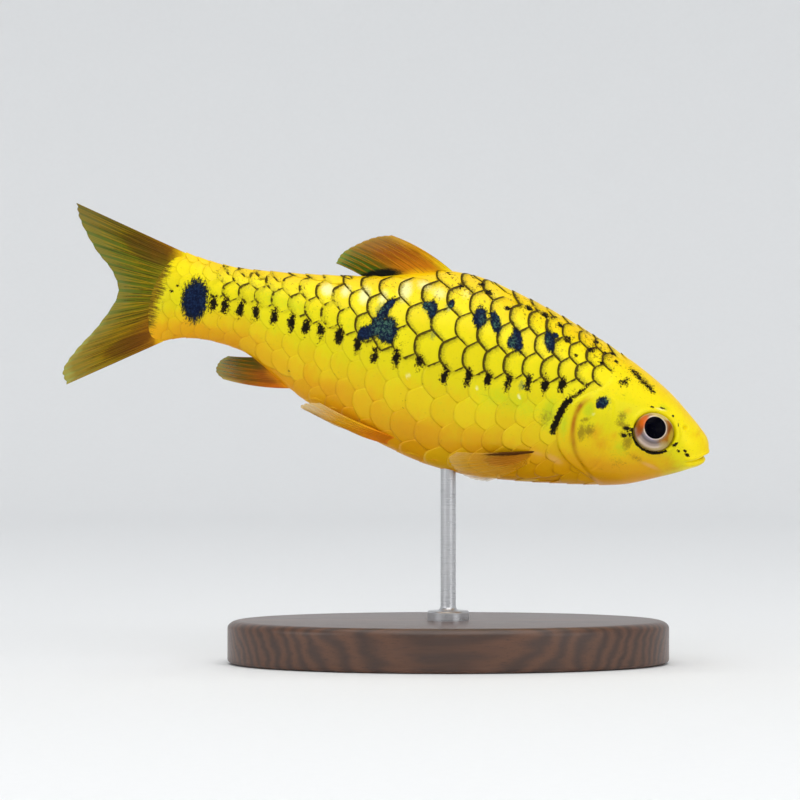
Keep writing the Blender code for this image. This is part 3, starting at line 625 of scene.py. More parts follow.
class Paint:
    """Builds one material's nodes."""

    def __init__(self, name, roughness=0.35, metallic=0.0, coat=0.0, coat_roughness=0.05, **constants):
        self.material = bpy.data.materials.new(name)
        self.material.use_nodes = True
        self.tree = self.material.node_tree
        self.shader = self.tree.nodes["Principled BSDF"]
        settings = {
            "Roughness": roughness, "Metallic": metallic,
            "Coat Weight": coat, "Coat Roughness": coat_roughness,
        }
        for socket, value in {**settings, **constants}.items():
            self.shader.inputs[socket].default_value = value

    def node(self, kind, settings=None, *inputs, output=0, **named):
        """Adds a node: its settings first, then the values or links of its sockets, by order or by name."""
        made = self.tree.nodes.new(kind)
        for setting, value in (settings or {}).items():
            if setting == "stops":
                self.set_stops(made.color_ramp, value)
            else:
                setattr(made, setting, value)
        places = list(enumerate(inputs)) + [(key.replace("_", " "), value) for key, value in named.items()]
        for place, value in places:
            self.feed(made.inputs[place], value)
        return Value(self, made.outputs[output])

    def set_stops(self, ramp, stops):
        ramp.interpolation = "EASE"
        while len(ramp.elements) < len(stops):
            ramp.elements.new(0.5)
        for element, (place, *colour) in zip(ramp.elements, stops):
            element.position = place
            element.color = (*tone(*colour), 1.0)

    def feed(self, socket, value):
        if isinstance(value, Value):
            self.tree.links.new(value.socket, socket)
        elif isinstance(value, (tuple, list)) and len(value) == 3 and socket.type == "RGBA":
            socket.default_value = (*value, 1.0)
        else:
            socket.default_value = value

    def field(self, name):
        """A field of numbers on the mesh."""
        return self.node("ShaderNodeAttribute", {"attribute_name": name}, output="Fac")

    def place(self):
        """The place on the smooth body, from the mesh's field of vectors."""
        return self.node("ShaderNodeAttribute", {"attribute_name": "place"}, output="Vector")

    def noise(self, where, scale, detail=3.0, roughness=0.55):
        sockets = {"Vector": where, "Scale": scale, "Detail": detail, "Roughness": roughness}
        return self.node("ShaderNodeTexNoise", None, **sockets)

    def cells(self, where, scale):
        return self.node("ShaderNodeTexVoronoi", None, Vector=where, Scale=scale, output="Distance")

    def stretched(self, where, factors):
        return self.node("ShaderNodeVectorMath", {"operation": "MULTIPLY"}, where, factors)

    def step(self, value, low, high):
        """0 below low and 1 above high, smooth between them. With low above high it falls instead."""
        if low > high:
            return 1 - self.step(value, high, low)
        settings = {"interpolation_type": "SMOOTHSTEP"}
        return self.node("ShaderNodeMapRange", settings, value, low, high, 0.0, 1.0)

    def blend(self, share, first, second):
        """A colour between two others."""
        made = self.tree.nodes.new("ShaderNodeMix")
        made.data_type = "RGBA"
        made.clamp_factor = True
        for name, value in (("Factor_Float", share), ("A_Color", first), ("B_Color", second)):
            socket = next(s for s in made.inputs if s.identifier == name)
            self.feed(socket, value)
        return Value(self, next(s for s in made.outputs if s.identifier == "Result_Color"))

    def ramp(self, value, *stops):
        """A run of colours. Each stop has its value and its red, green and blue on the screen, 0 to 255."""
        return self.node("ShaderNodeValToRGB", {"stops": stops}, value, output="Color")

    def dab(self, colour, across, along, noise, spot, outer=1.1, inner=0.35):
        """Adds an oval spot of colour with a ragged edge, and gives its share too."""
        middle_across, middle_along, half_across, half_along, spot_tone, strength = spot
        x, y = (across - middle_across) / half_across, (along - middle_along) / half_along
        share = self.step(x * x + y * y + (noise - 0.5) * 1.2, outer, inner) * strength
        return self.blend(share, colour, spot_tone), share

    def bump(self, height, strength, distance):
        sockets = {"Height": height, "Strength": strength, "Distance": distance}
        return self.node("ShaderNodeBump", None, **sockets, output="Normal")

    def finish(self, **sockets):
        for name, value in sockets.items():
            self.feed(self.shader.inputs[name.replace("_", " ")], value)
        return self.material


def tone(red, green, blue):
    """A colour of the screen, 0 to 255, as light."""
    shares = [value / 255 for value in (red, green, blue)]
    return tuple(s / 12.92 if s <= 0.04045 else ((s + 0.055) / 1.055) ** 2.4 for s in shares)


MATT = {"Specular IOR Level": 0.1}
OLIVE = tone(120, 110, 4)
BROWN_BLACK = tone(18, 12, 0)
BLUE_BLACK = tone(2, 14, 46)
BLUE_GLINT = tone(30, 58, 96)
TEAL_GLINT = tone(72, 112, 92)
# Pale colour of the painted pearly glints
PEARL_GLINT = tone(244, 242, 176)
PINK = tone(230, 172, 100)
# Spots of the iris: place towards the tail and up, half length, half height, colour and strength
IRIS_SPOTS = (
    (1.72, -0.2, 0.36, 0.9, tone(150, 70, 2), 0.95),
    (1.45, 0.8, 0.5, 0.75, tone(206, 92, 4), 0.95),
    (-1.45, 0.75, 0.36, 0.6, tone(128, 62, 2), 0.9),
    (-0.3, 1.72, 1.1, 0.26, tone(216, 196, 110), 0.8),
    (-1.75, 0.0, 0.3, 0.9, tone(186, 160, 40), 0.8),
    (-1.3, -1.1, 0.6, 0.5, tone(182, 160, 96), 0.7),
)


def flesh_colour(paint, place):
    """The fish's ground colour: gold back, yellow flank, green sheen, amber belly and the cheek's shades."""
    patchy = paint.noise(place, 0.55, 2.0)
    fine = paint.noise(place, 4.5, 4.0, 0.65)
    streaky = paint.noise(paint.stretched(place, (2.6, 2.6, 0.8)), 1.0, 3.0, 0.6)
    warped = paint.field("level") + (patchy - 0.5) * 0.14 + (streaky - 0.5) * 0.12
    colour = paint.ramp(
        warped, (0.0, 226, 156, 4), (0.14, 224, 164, 4), (0.3, 226, 192, 4), (0.45, 222, 208, 4),
        (0.62, 230, 216, 4), (0.82, 248, 226, 4), (1.0, 246, 204, 4),
    )
    green = paint.field("green_sheen") + (patchy - 0.5) * 0.5 + (fine - 0.5) * 0.9
    green = paint.step(green, 0.05, 0.8) * 0.85
    colour = paint.blend(green, colour, paint.blend(fine, tone(150, 168, 4), tone(218, 226, 30)))
    orange = paint.step(paint.field("orange_flush") + (streaky - 0.5) * 0.7, 0.0, 0.8) * 0.8
    colour = paint.blend(orange, colour, paint.blend(fine, tone(202, 126, 4), tone(230, 166, 4)))
    olive = paint.step(paint.field("olive_shade") + (fine - 0.5) * 1.3, 0.1, 0.7) * 0.72
    colour = paint.blend(olive, colour, paint.blend(patchy, tone(96, 98, 2), tone(140, 88, 2)))
    bone = (paint.field("bone_edge") * (0.1 + patchy * 1.3)).clamped()
    colour = paint.blend(bone * 0.95, colour, tone(160, 78, 2))
    pink = paint.step(paint.field("pink_flush") + (fine - 0.5) * 0.5, 0.0, 0.7) * 0.6
    colour = paint.blend(pink, colour, PINK)
    # Painted glints: the pearly patches turn pale, as silvery scales do where they catch the light
    pearl = paint.step(paint.field("pearl") + (fine - 0.5) * 0.5, 0.15, 0.8)
    colour = paint.blend(pearl * 0.85, colour, PEARL_GLINT)
    rays = paint.noise(paint.stretched(place, (0.5, 1.0, 3.2)), 1.6, 3.0, 0.65)
    tail = paint.step(paint.field("tail_shade") + (rays - 0.5) * 1.6 + (fine - 0.5) * 0.6, 0.2, 0.9)
    ray_tones = paint.blend(paint.step(rays, 0.35, 0.65), tone(152, 118, 2), tone(96, 76, 0))
    colour = paint.blend(tail, colour, ray_tones)
    return colour, fine, pearl


def with_ink(paint, place, colour, fine):
    """Adds the dark marks, with ragged edges and blue glints, and gives their share."""
    bristly = paint.stretched(place, (1.5, 1.0, 0.8))
    ragged = paint.noise(bristly, 3.2, 5.0, 0.8)
    speckled = paint.field("speckled")
    dots = paint.noise(place, 2.7, 4.0, 0.75)
    specks = paint.step(dots + (speckled - 1) * 0.12, 0.495, 0.56) * paint.step(speckled, 0.0, 0.1)
    colour = paint.blend(specks * 0.66, colour, paint.blend(fine, BROWN_BLACK, tone(120, 84, 4)))
    blotchy = paint.noise(place, 1.5, 3.0, 0.6)
    grainy = paint.noise(place, 6.0, 3.0, 0.6)
    # The brown-black field also holds the socket's shadow, painted here as dark as the marks.
    thick = paint.field("brown_black") + (ragged - 0.5) * 1.7 + (blotchy - 0.5) * 1.5 + (grainy - 0.5) * 1.1
    brown = paint.step(thick, 0.05, 0.4)
    brown_tones = paint.blend(paint.step(thick, 0.12, 0.5), tone(84, 58, 2), BROWN_BLACK)
    colour = paint.blend(brown, colour, brown_tones)
    haze = paint.field("haze")
    misty = paint.step(haze + (ragged - 0.5) * 2.0, 0.2, 0.8) * 0.62
    colour = paint.blend(misty, colour, paint.blend(fine, tone(50, 76, 40), tone(120, 142, 84)))
    depth = paint.field("blue_black") + (ragged - 0.5) * 1.5
    blue = paint.step(depth, 0.0, 0.25)
    glints = paint.step(paint.noise(place, 3.6, 5.0, 0.75), 0.46, 0.6) * (0.5 + haze * 0.5)
    inner = paint.blend(glints, BLUE_BLACK, paint.blend(haze * 1.6, BLUE_GLINT, TEAL_GLINT))
    inner = paint.blend(paint.step(depth, 0.1, 0.5), tone(12, 20, 8), inner)
    return paint.blend(blue, colour, inner), blue.at_least(brown)


def skin_material():
    paint = Paint("barb_skin", roughness=0.34, metallic=0.1, coat=0.22, coat_roughness=0.15, **MATT)
    place = paint.place()
    colour, fine, _ = flesh_colour(paint, place)
    freckles = paint.step(paint.noise(place, 7.0, 2.0), 0.66, 0.74) * 0.35
    colour = paint.blend(freckles, colour, OLIVE)
    colour, ink = with_ink(paint, place, colour, fine)
    # Painted shade in the mouth's open cut: dark reddish brown, strongest on the line of the mouth
    colour = paint.blend(paint.field("mouth_depth") * 0.7, colour, tone(120, 50, 8))
    pores = paint.cells(place, 9.0)
    normal = paint.bump(fine * 0.6 + pores * 0.5, 0.22, 0.00008)
    return paint.finish(
        Base_Color=colour, Roughness=0.28 + fine * 0.22, Coat_Weight=0.16 - ink * 0.15, Normal=normal,
    )


def scale_material():
    paint = Paint("barb_scales", roughness=0.28, metallic=0.15, coat=0.25, coat_roughness=0.14, **MATT)
    place = paint.place()
    colour, fine, pearl = flesh_colour(paint, place)
    own = paint.field("own_tint")
    colour = paint.blend(paint.step(own, 0.55, 1.0) * 0.18, colour, tone(248, 238, 30))
    colour = paint.blend(paint.step(own, 0.4, 0.0) * 0.16, colour, tone(206, 172, 4))
    rim, net = paint.field("rim"), paint.field("net")
    ragged = paint.noise(place, 2.6, 4.0, 0.7)
    stippled = paint.noise(place, 6.5, 3.0, 0.6)
    broken = paint.noise(place, 1.1, 2.0)
    line = paint.step(rim + (ragged - 0.5) * 1.7 + (stippled - 0.5) * 1.3, 1.25, 0.7)
    line = line * paint.step(net + (broken - 0.5) * 2.2, 0.4, 0.65)
    halo = paint.step(rim + (stippled - 0.5) * 4.0, 2.8, 1.2) * net * 0.5
    colour = paint.blend(halo, colour, OLIVE)
    colour = paint.blend(line * 0.96, colour, paint.blend(ragged, tone(40, 34, 2), tone(84, 66, 2)))
    colour, ink = with_ink(paint, place, colour, fine)
    normal = paint.bump(fine * 0.4 + paint.field("growth") * 0.35, 0.2, 0.00006)
    shine = paint.noise(place, 1.4, 2.0)
    ink = ink.at_least(line)
    return paint.finish(
        Base_Color=colour, Roughness=0.28 + fine * 0.16 + shine * 0.12 + ink * 0.15 + pearl * 0.1,
        Metallic=(0.08 + pearl * 0.12).clamped(), Coat_Weight=(0.18 - ink * 0.17 - pearl * 0.1).clamped(),
        Normal=normal,
    )


def fin_material(name, bands, tones, cover, streak=0.5, patches=()):
    """A translucent fin.

    bands are three runs of colour from root to tip, for the front edge, the middle and the rear edge. tones
    are those of the rays and of the streaks, and cover is how opaque web, rays and tips are.
    """
    paint = Paint(name, roughness=0.5, coat=0.02, coat_roughness=0.2, **MATT)
    place = paint.place()
    along, across, ray = paint.field("along"), paint.field("across"), paint.field("ray")
    cloudy = paint.noise(place, 0.5, 3.0)
    fine = paint.noise(paint.stretched(place, (1.0, 1.0, 3.0)), 2.4, 4.0, 0.7)
    length = along + (cloudy - 0.5) * 0.25
    front, middle, rear = [paint.ramp(length, *band) for band in bands]
    breadth = across + (cloudy - 0.5) * 0.2
    colour = paint.blend(paint.step(breadth, 0.04, 0.22), front, middle)
    colour = paint.blend(paint.step(breadth, 0.45, 0.78), colour, rear)
    colour = paint.blend(ray * 0.6 * paint.step(along, 0.05, 0.3), colour, tones[0])
    streaks = paint.step(paint.field("streak") + (fine - 0.5) * 1.1, 0.1, 0.7) * streak
    colour = paint.blend(streaks, colour, tones[1])
    dark = 0.0
    for spot in patches:
        colour, share = paint.dab(colour, across, along, fine, spot)
        dark = share + dark
    web, rays, tips = cover
    thin = paint.step(along + (fine - 0.5) * 0.2, 0.3, 1.0)
    alpha = (1 - thin * (1 - tips)) * (web + ray * (rays - web)) + streaks * 0.3 + dark
    alpha = alpha.clamped().at_least(paint.step(along, 0.2, 0.08))
    normal = paint.bump(paint.field("joints") * 0.6 + fine * 0.4, 0.25, 0.00006)
    return paint.finish(Base_Color=colour, Roughness=0.4 + fine * 0.2, Alpha=alpha, Normal=normal)


# Settings


def size_property(label, description, millimetres):
    return bpy.props.FloatProperty(
        name=label, description=description, default=millimetres * MM, unit="LENGTH", precision=5
    )


def count_property(label, description, default):
    return bpy.props.IntProperty(name=label, description=description, default=default, min=3)


def colour_property(label, description, default):
    return bpy.props.FloatVectorProperty(
        name=label, description=description, default=default, subtype="COLOR", min=0.0, max=1.0
    )


class SkinSettings(bpy.types.PropertyGroup):
    head_rings: count_property("Head rings", "Rings of points from the snout to behind the gills", 190)
    body_rings: count_property("Body rings", "Rings of points from the gills to the tail fin", 120)
    ring_points: count_property("Ring points", "Points round each ring", 200)
    coat_depth: size_property("Coat depth", "How deep the skin lies under the scales", 0.2)
    cover_step: size_property("Gill cover step", "How far the gill cover stands over the body", 0.2)
    lip_fullness: size_property("Lip fullness", "How far the lips swell", 0.13)


class ScaleSettings(bpy.types.PropertyGroup):
    across: count_property("Points across", "Points across a scale", 16)
    along: count_property("Points along", "Points along a scale", 13)
    lift: size_property("Lift", "How far the free edge of a scale rises over its root", 0.15)
    thickness: size_property("Thickness", "Thickness of a scale", 0.03)
    half_span: bpy.props.FloatProperty(
        name="Half span", description="Half of a scale's span, in row heights",
        default=0.66, subtype="FACTOR",
    )
    roundness: bpy.props.FloatProperty(
        name="Roundness", description="How far the free edge's sides fall back, in column widths",
        default=0.6, subtype="FACTOR",
    )


class FinSettings(bpy.types.PropertyGroup):
    tail_rays: count_property("Tail rays", "Rays in the tail fin", 21)
    dorsal_rays: count_property("Dorsal rays", "Rays in the dorsal fin", 11)
    anal_rays: count_property("Anal rays", "Rays in the anal fin", 8)
    pelvic_rays: count_property("Pelvic rays", "Rays in a pelvic fin", 8)
    pectoral_rays: count_property("Pectoral rays", "Rays in a pectoral fin", 13)
    ray_columns: count_property("Ray columns", "Points from one ray to the next", 16)
    ray_rows: count_property("Ray rows", "Points along a ray", 64)
    membrane: size_property("Membrane", "Thickness of the membrane at the root", 0.16)
    ray_height: size_property("Ray height", "How far a ray stands over the membrane at the root", 0.13)


class EyeSettings(bpy.types.PropertyGroup):
    rings: count_property("Rings", "Rings of points from the pupil's middle to the rim", 40)
    spokes: count_property("Spokes", "Points round each ring", 72)
    pupil_bulge: size_property("Pupil bulge", "How far the lens stands out of the iris", 0.12)


class StandSettings(bpy.types.PropertyGroup):
    wood_dark: colour_property("Dark grain", "Colour of the dark grain", tone(46, 26, 15))
    wood_light: colour_property("Light grain", "Colour of the light grain", tone(96, 58, 34))
    sides: count_property("Sides", "Points round the base and the rod", 128)


class StageSettings(bpy.types.PropertyGroup):
    floor_colour: colour_property("Floor", "Colour of the floor and backdrop", tone(235, 236, 237))
    lens: bpy.props.FloatProperty(name="Lens", description="Focal length", default=150.0, unit="CAMERA")
    frame_width: size_property("Frame width", "Width of the view at the fish", 83.36)
    light: bpy.props.FloatProperty(
        name="Light", description="Strength of the lights", default=1.0, subtype="FACTOR"
    )


# Pieces of the fish


class BARB_OT_skin(bpy.types.Operator):
    """One skin for head, gill covers, trunk and tail stalk, with mouth, lips, nostrils and eye sockets"""

    bl_idname = "gold_barb.skin"
    bl_label = "Skin"

    def execute(self, context):
        settings = context.scene.barb_skin
        stations = self.stations(settings)
        angles = np.linspace(0, 2 * np.pi, settings.ring_points, endpoint=False)
        station, angle = np.meshgrid(stations, angles, indexing="ij")
        points = body_point(station, angle)
        normals = body_normal(station, angle)
        height = points[..., 2]
        relief, mouth_depth = self.relief(settings, station, height)
        placed = points + normals * relief[..., None]
        placed[..., 1] *= sheath_share(station)
        rows, columns = station.shape
        tip = np.array([[0.0, 0.0, -0.25]])
        tail = placed[-1].mean(axis=0, keepdims=True)
        every = np.concatenate((placed.reshape(-1, 3), tip, tail))
        faces = grid_faces(rows, columns, closed=True, flip=True)
        count = rows * columns
        faces += [(j, (j + 1) % columns, count) for j in range(columns)]
        last = count - columns
        faces += [(last + (j + 1) % columns, last + j, count + 1) for j in range(columns)]
        flat = np.concatenate((points.reshape(-1, 3), tip, tail))
        fields = markings(-flat[:, 0], flat[:, 1], flat[:, 2])
        fields["place"] = np.stack((-flat[:, 0], flat[:, 1], flat[:, 2]), axis=-1)
        fields["mouth_depth"] = np.concatenate((mouth_depth.ravel(), (0.0, 0.0)))
        skin = new_piece("barb_skin", every, faces, fields)
        pose_fish(skin)
        nodes = ("head", "trunk", "tail_stalk", "gill_cover_left", "gill_cover_right")
        dress(skin, skin_material(), "golden_skin", *nodes)
        return {"FINISHED"}

    def stations(self, settings):
        """Ring stations, close together at the snout and along the head."""
        head = 18.0 * np.linspace(0.004, 1, settings.head_rings) ** 1.35
        body = np.linspace(18.0, SHEATH_END, settings.body_rings + 1)[1:]
        return np.concatenate((head, body))

    def relief(self, settings, station, height):
        """How far the skin stands over the smooth body, and how deep in the mouth a point is."""
        ahead = in_front_of_gills(station, height)
        reach = mix(*SCALE_START, smoothstep(*NAPE, height))
        relief = mix(-settings.coat_depth / MM, HEAD_DEPTH, smoothstep(-reach, reach, ahead))
        lips, mouth_depth = self.lips(settings.lip_fullness / MM, station, height)
        relief += self.gill_cover(settings.cover_step / MM, ahead, station, height) + lips
        from_eye = np.hypot(station - EYE_PLACE[0], (height - EYE_PLACE[1]) / EYE_FLATNESS) - EYE_RADIUS
        nostril = np.hypot(station - NOSTRIL[0], (height - NOSTRIL[1]) / NOSTRIL_FLATNESS)
        for distance, (rise, away, width) in ((from_eye, EYE_RIM), (nostril, NOSTRIL_RIM)):
            relief += rise * bump(distance - away, width)
        for distance, (depth, start, full) in ((from_eye, SOCKET), (nostril, NOSTRIL_PIT)):
            relief -= depth * smoothstep(start, full, distance)
        return relief, mouth_depth

    def gill_cover(self, step, ahead, station, height):
        """The cover's rear edge with the groove behind it, and the edges of its bones."""
        cover = smoothstep(*COVER_TOP, height) * smoothstep(*COVER_BOTTOM, height)
        relief = cover * step * smoothstep(-0.06, 0.06, ahead) * smoothstep(6.0, 1.0, ahead)
        depth, behind, width = COVER_GROOVE
        relief -= cover * depth * bump(ahead + behind, width)
        edge, share = to_line(smooth_line(COVER_EDGE, 30), station, height)
        near = (station < HEAD_REACH) * smoothstep(0.0, 0.12, share) * smoothstep(1.0, 0.9, share)
        relief += near * BONE_STEP * smoothstep(0.1, -0.1, edge) * smoothstep(-3.0, -0.4, edge)
        depth, behind, width = BONE_GROOVE
        relief -= near * depth * bump(edge - behind, width)
        crease, share = to_line(smooth_line(COVER_FRONT, 24), station, height)
        near = (station < HEAD_REACH) * smoothstep(0.0, 0.15, share) * smoothstep(1.0, 0.85, share)
        depth, width = CREASE
        return relief - near * depth * bump(crease, width)

    def lips(self, fullness, station, height):
        """Two swellings along the line of the mouth, and how deep in the cut between them a point is."""
        mouth, share = to_line(smooth_line(MOUTH_LINE, 24), station, height)
        whole_line = smoothstep(1.0, 0.8, share)
        open_part = smoothstep(0.6, 0.3, share)
        distance, width = LIP_CREST
        relief = fullness * whole_line * bump(np.abs(mouth) - distance, width)
        for part, (depth, width) in zip((whole_line, open_part), MOUTH_CUTS):
            relief -= depth * part * bump(mouth, width)
        return relief, open_part * bump(mouth, 0.1)


class RowMap:
    """Finds the angle on the body of a place that is given by station and by rows above the row line."""

    STATIONS = (4.0, 60.4, 283)  # first, last and number
    ROWS = (-8, 8, 641)
    ANGLES = 361

    def __init__(self):
        self.stations = np.linspace(*self.STATIONS)
        angles = np.linspace(0, np.pi, self.ANGLES)
        station, angle = np.meshgrid(self.stations, angles, indexing="ij")
        steps = np.linalg.norm(np.diff(body_point(station, angle)[..., 1:], axis=1), axis=-1)
        girth = np.concatenate((np.zeros((len(self.stations), 1)), np.cumsum(steps, axis=1)), axis=1)
        start_angle = angle_at(self.stations, row_line(self.stations))
        start = np.array([np.interp(a, angles, g) for a, g in zip(start_angle, girth)])
        heights = row_height(self.stations)
        self.rows = (start[:, None] - girth) / heights[:, None]
        self.row_keys = np.linspace(*self.ROWS)
        self.table = np.empty((len(self.stations), len(self.row_keys)))
        for k, rows in enumerate(self.rows):
            slope = (angles[1] - angles[0]) / abs(rows[1] - rows[0])
            inner = np.interp(self.row_keys, rows[::-1], angles[::-1])
            inner -= np.maximum(self.row_keys - rows[0], 0) * slope
            inner += np.maximum(rows[-1] - self.row_keys, 0) * slope
            self.table[k] = inner
        self.top = self.rows[:, 0]
        self.bottom = self.rows[:, -1]

    def angle(self, station, row):
        i, past_station = self.step(station, self.stations)
        j, past_row = self.step(row, self.row_keys)
        lower = mix(self.table[i, j], self.table[i, j + 1], past_row)
        upper = mix(self.table[i + 1, j], self.table[i + 1, j + 1], past_row)
        return mix(lower, upper, past_station)

    def step(self, values, keys):
        """The step between even keys in which each value lies, and the share of the step before it."""
        steps = np.clip((values - keys[0]) / (keys[1] - keys[0]), 0, len(keys) - 1.001)
        whole = steps.astype(int)
        return whole, steps - whole

    def reach(self, station):
        """Rows from the row line to the middle of the back and of the belly."""
        return np.interp(station, self.stations, self.top), np.interp(station, self.stations, self.bottom)


class BARB_OT_scales(bpy.types.Operator):
    """Overlapping scales over the trunk and tail stalk: one piece on each flank, one on back and belly"""

    bl_idname = "gold_barb.scales"
    bl_label = "Scales"

    COLUMNS = range(-5, 24)
    ROWS = range(-6, 6)
    LAST_FLANK_EDGE = 58.9
    LAST_RIDGE_EDGE = 59.2
    FIRST_BACK_EDGE = 11.6
    FIRST_BELLY_EDGE = 10.6
    GILL_MARGIN = 0.12  # the free edges keep this far behind the gill opening

    def execute(self, context):
        self.settings = context.scene.barb_scales
        self.rows = RowMap()
        material = scale_material()
        for name, side in (("scales_right", RIGHT), ("scales_left", LEFT)):
            self.draw = np.random.default_rng(SEED + side)
            plates = [self.flank_scale(column, row, side) for row in self.ROWS for column in self.COLUMNS]
            self.join(name, plates, material)
        self.draw = np.random.default_rng(SEED + 7)
        plates = [self.ridge_scale(column, top) for top in (True, False) for column in self.COLUMNS]
        self.join("scales_ridge", plates, material)
        return {"FINISHED"}

    def outline(self, rear, pitch):
        """One scale's points by station and span, their share of its length and distance to its rim."""
        settings = self.settings
        across = np.linspace(-1, 1, settings.across)
        away = np.abs(across) - FLAT_SHARE
        slant = away + np.hypot(away, FLAT_ROUNDING)
        slant = (slant - slant.min()) / (slant.max() - slant.min())
        bow = mix(across**2, slant, SLANT_SHARE)
        free_edge = rear - settings.roundness * pitch * bow
        root = rear - SCALE_LENGTH * pitch
        share = np.linspace(0, 1, settings.along)[:, None] ** 0.8
        station = mix(root, free_edge[None, :], share)
        narrow = mix(0.62, 1.0, smoothstep(0.0, 0.75, share))
        span = across[None, :] * narrow
        height = span * settings.half_span * float(row_height(rear))
        distance, _ = to_line(np.stack((station[-1], height[-1]), axis=-1), station, height)
        slim = mix(1.0, 0.6, smoothstep(36.0, 42.0, rear))
        pigment = mix(RIM_WIDTHS[0], RIM_WIDTHS[1] * slim, across[None, :] ** 2)
        pigment = pigment * self.draw.uniform(0.75, 1.25)
        return station, span, share, np.abs(distance) / pigment

    def rear_and_pitch(self, column):
        """The station of a column's free edges, and the width of the column."""
        rear, ahead, behind = (float(column_station(column + step)) for step in (0.0, -0.5, 0.5))
        return rear, behind - ahead

    def cell(self, column, row, rows):
        """The corner and the size of a scale's patch in the UV map, in one of so many rows."""
        width, height = 1 / (len(self.COLUMNS) + 1), 1 / rows
        return ((column - self.COLUMNS[0]) * width, row * height), (width, height)

    def flank_scale(self, column, row, side):
        offset = 0.5 if row % 2 == 0 else 0.0
        rear, pitch = self.rear_and_pitch(column + offset)
        middle = rear - 0.55 * pitch
        top, bottom = self.rows.reach(middle)
        centre = row + 0.5
        if not bottom + 0.4 < centre < top - 0.4:
            return None
        if rear > self.LAST_FLANK_EDGE or self.under_gill_cover(rear - 0.25 * pitch, centre):
            return None
        station, span, share, rim = self.outline(rear, pitch)
        wobble = self.draw.normal(0.0, 0.02, 2)
        level = centre + wobble[0] + span * self.settings.half_span * (1 + wobble[1])
        station = station + ROW_LEAN * float(row_height(rear)) * (level - 0.5)
        angle = self.rows.angle(station, level) * side
        patch_of_map = self.cell(column + offset, row - self.ROWS[0], len(self.ROWS))
        return self.plate(station, angle, level, share, rim, span, patch_of_map)

    def ridge_scale(self, column, top):
        """A scale that straddles the middle of the back or of the belly."""
        rear, pitch = self.rear_and_pitch(column)
        middle = rear - 0.5 * pitch
        root = DORSAL_ROOT if top else ANAL_ROOT
        if root[0] - 0.1 < rear and middle - 0.6 * pitch < root[1] + 0.4:
            return None
        first_edge = self.FIRST_BACK_EDGE if top else self.FIRST_BELLY_EDGE
        if not first_edge <= rear <= self.LAST_RIDGE_EDGE:
            return None
        high, low = self.rows.reach(middle)
        reach = high if top else low
        sign = 1 if top else -1
        gap = ((reach * sign - 0.9) % 0.5) + 0.42
        station, span, share, rim = self.outline(rear, pitch)
        edge_high, edge_low = self.rows.reach(station)
        edge = edge_high if top else edge_low
        level = edge - sign * np.abs(span) * gap
        angle = self.rows.angle(station, level)
        angle = np.where(span < 0, -angle, angle) if top else np.where(span < 0, 2 * np.pi - angle, angle)
        patch_of_map = self.cell(column, 2 if top else 0, 4)
        return self.plate(station, angle, level, share, rim, span, patch_of_map)

    def under_gill_cover(self, rear, row):
        """Whether a scale's free edge would lie in front of the gill opening or of the nape."""
        station = np.array([rear])
        angle = self.rows.angle(station, np.array([row]))
        height = body_point(station, angle)[..., 2]
        return in_front_of_gills(station, height)[0] > -self.GILL_MARGIN

    def plate(self, station, angle, level, share, rim, span, patch_of_map):
        """Points, fields and UV places of one closed scale."""
        settings = self.settings
        crown = CROWN * (1 - span**2)
        rise = settings.lift / MM * mix(0.65, 1.0, smoothstep(-2.0, 0.4, level))
        lift = share * rise - ROOT_DEPTH + crown + self.draw.normal(0.0, LIFT_SPREAD)
        surface = body_point(station, angle)
        normals = body_normal(station, angle)
        upper = surface + normals * lift[..., None]
        thin = settings.thickness / MM * mix(1.0, 0.55, share)
        lower = upper - normals * thin[..., None]
        for layer in (upper, lower):
            layer[..., 1] *= sheath_share(station)
        points = np.concatenate((upper.reshape(-1, 3), lower.reshape(-1, 3)))
        (left, low), (width, height) = patch_of_map
        half = (span / np.abs(span).max() + 1) / 2
        u = left + width * mix(0.05, 0.95, share**1.8 + 0 * span)
        uv = uv_places(u, low + height * mix(0.05, 0.83, half), low + height * mix(0.87, 0.95, half))
        place = surface.reshape(-1, 3) * np.array([-1.0, 1.0, 1.0])
        growth = 0.5 + 0.5 * np.cos(share * 110.0)
        plain = {"rim": rim + 0 * span, "net": self.net(level, station), "growth": growth + 0 * span}
        plain["own_tint"] = np.full(rim.shape, self.draw.uniform()) + 0 * span
        fields = {key: value.ravel() for key, value in plain.items()}
        fields.update(markings(place[:, 0], place[:, 1], place[:, 2]))
        fields["place"] = place
        return points, {key: np.concatenate((value, value)) for key, value in fields.items()}, uv

    def net(self, level, station):
        """How dark the rims are: not on the belly or at either end, fainter on the nape and the rear."""
        net = smoothstep(-0.35, 0.05, level)
        net *= smoothstep(10.5, 12.5, station) * smoothstep(55.0, 53.6, station)
        net *= 1 - 0.4 * smoothstep(2.2, 3.4, level) * smoothstep(27.0, 19.0, station)
        return net * (1 - 0.44 * smoothstep(37.0, 43.0, station))

    def join(self, name, plates, material):
        plates = [plate for plate in plates if plate]
        rows, columns = self.settings.along, self.settings.across
        faces = shell_faces(rows, columns)
        count = 2 * rows * columns
        points = np.concatenate([plate[0] for plate in plates])
        fields = {key: np.concatenate([plate[1][key] for plate in plates]) for key in plates[0][1]}
        uv = np.concatenate([plate[2] for plate in plates])
        every = (np.array(faces)[None] + (np.arange(len(plates)) * count)[:, None, None]).reshape(-1, 4)
        piece = new_piece(name, points, every.tolist(), fields, uv)
        pose_fish(piece)
        dress(piece, material, "golden_skin")


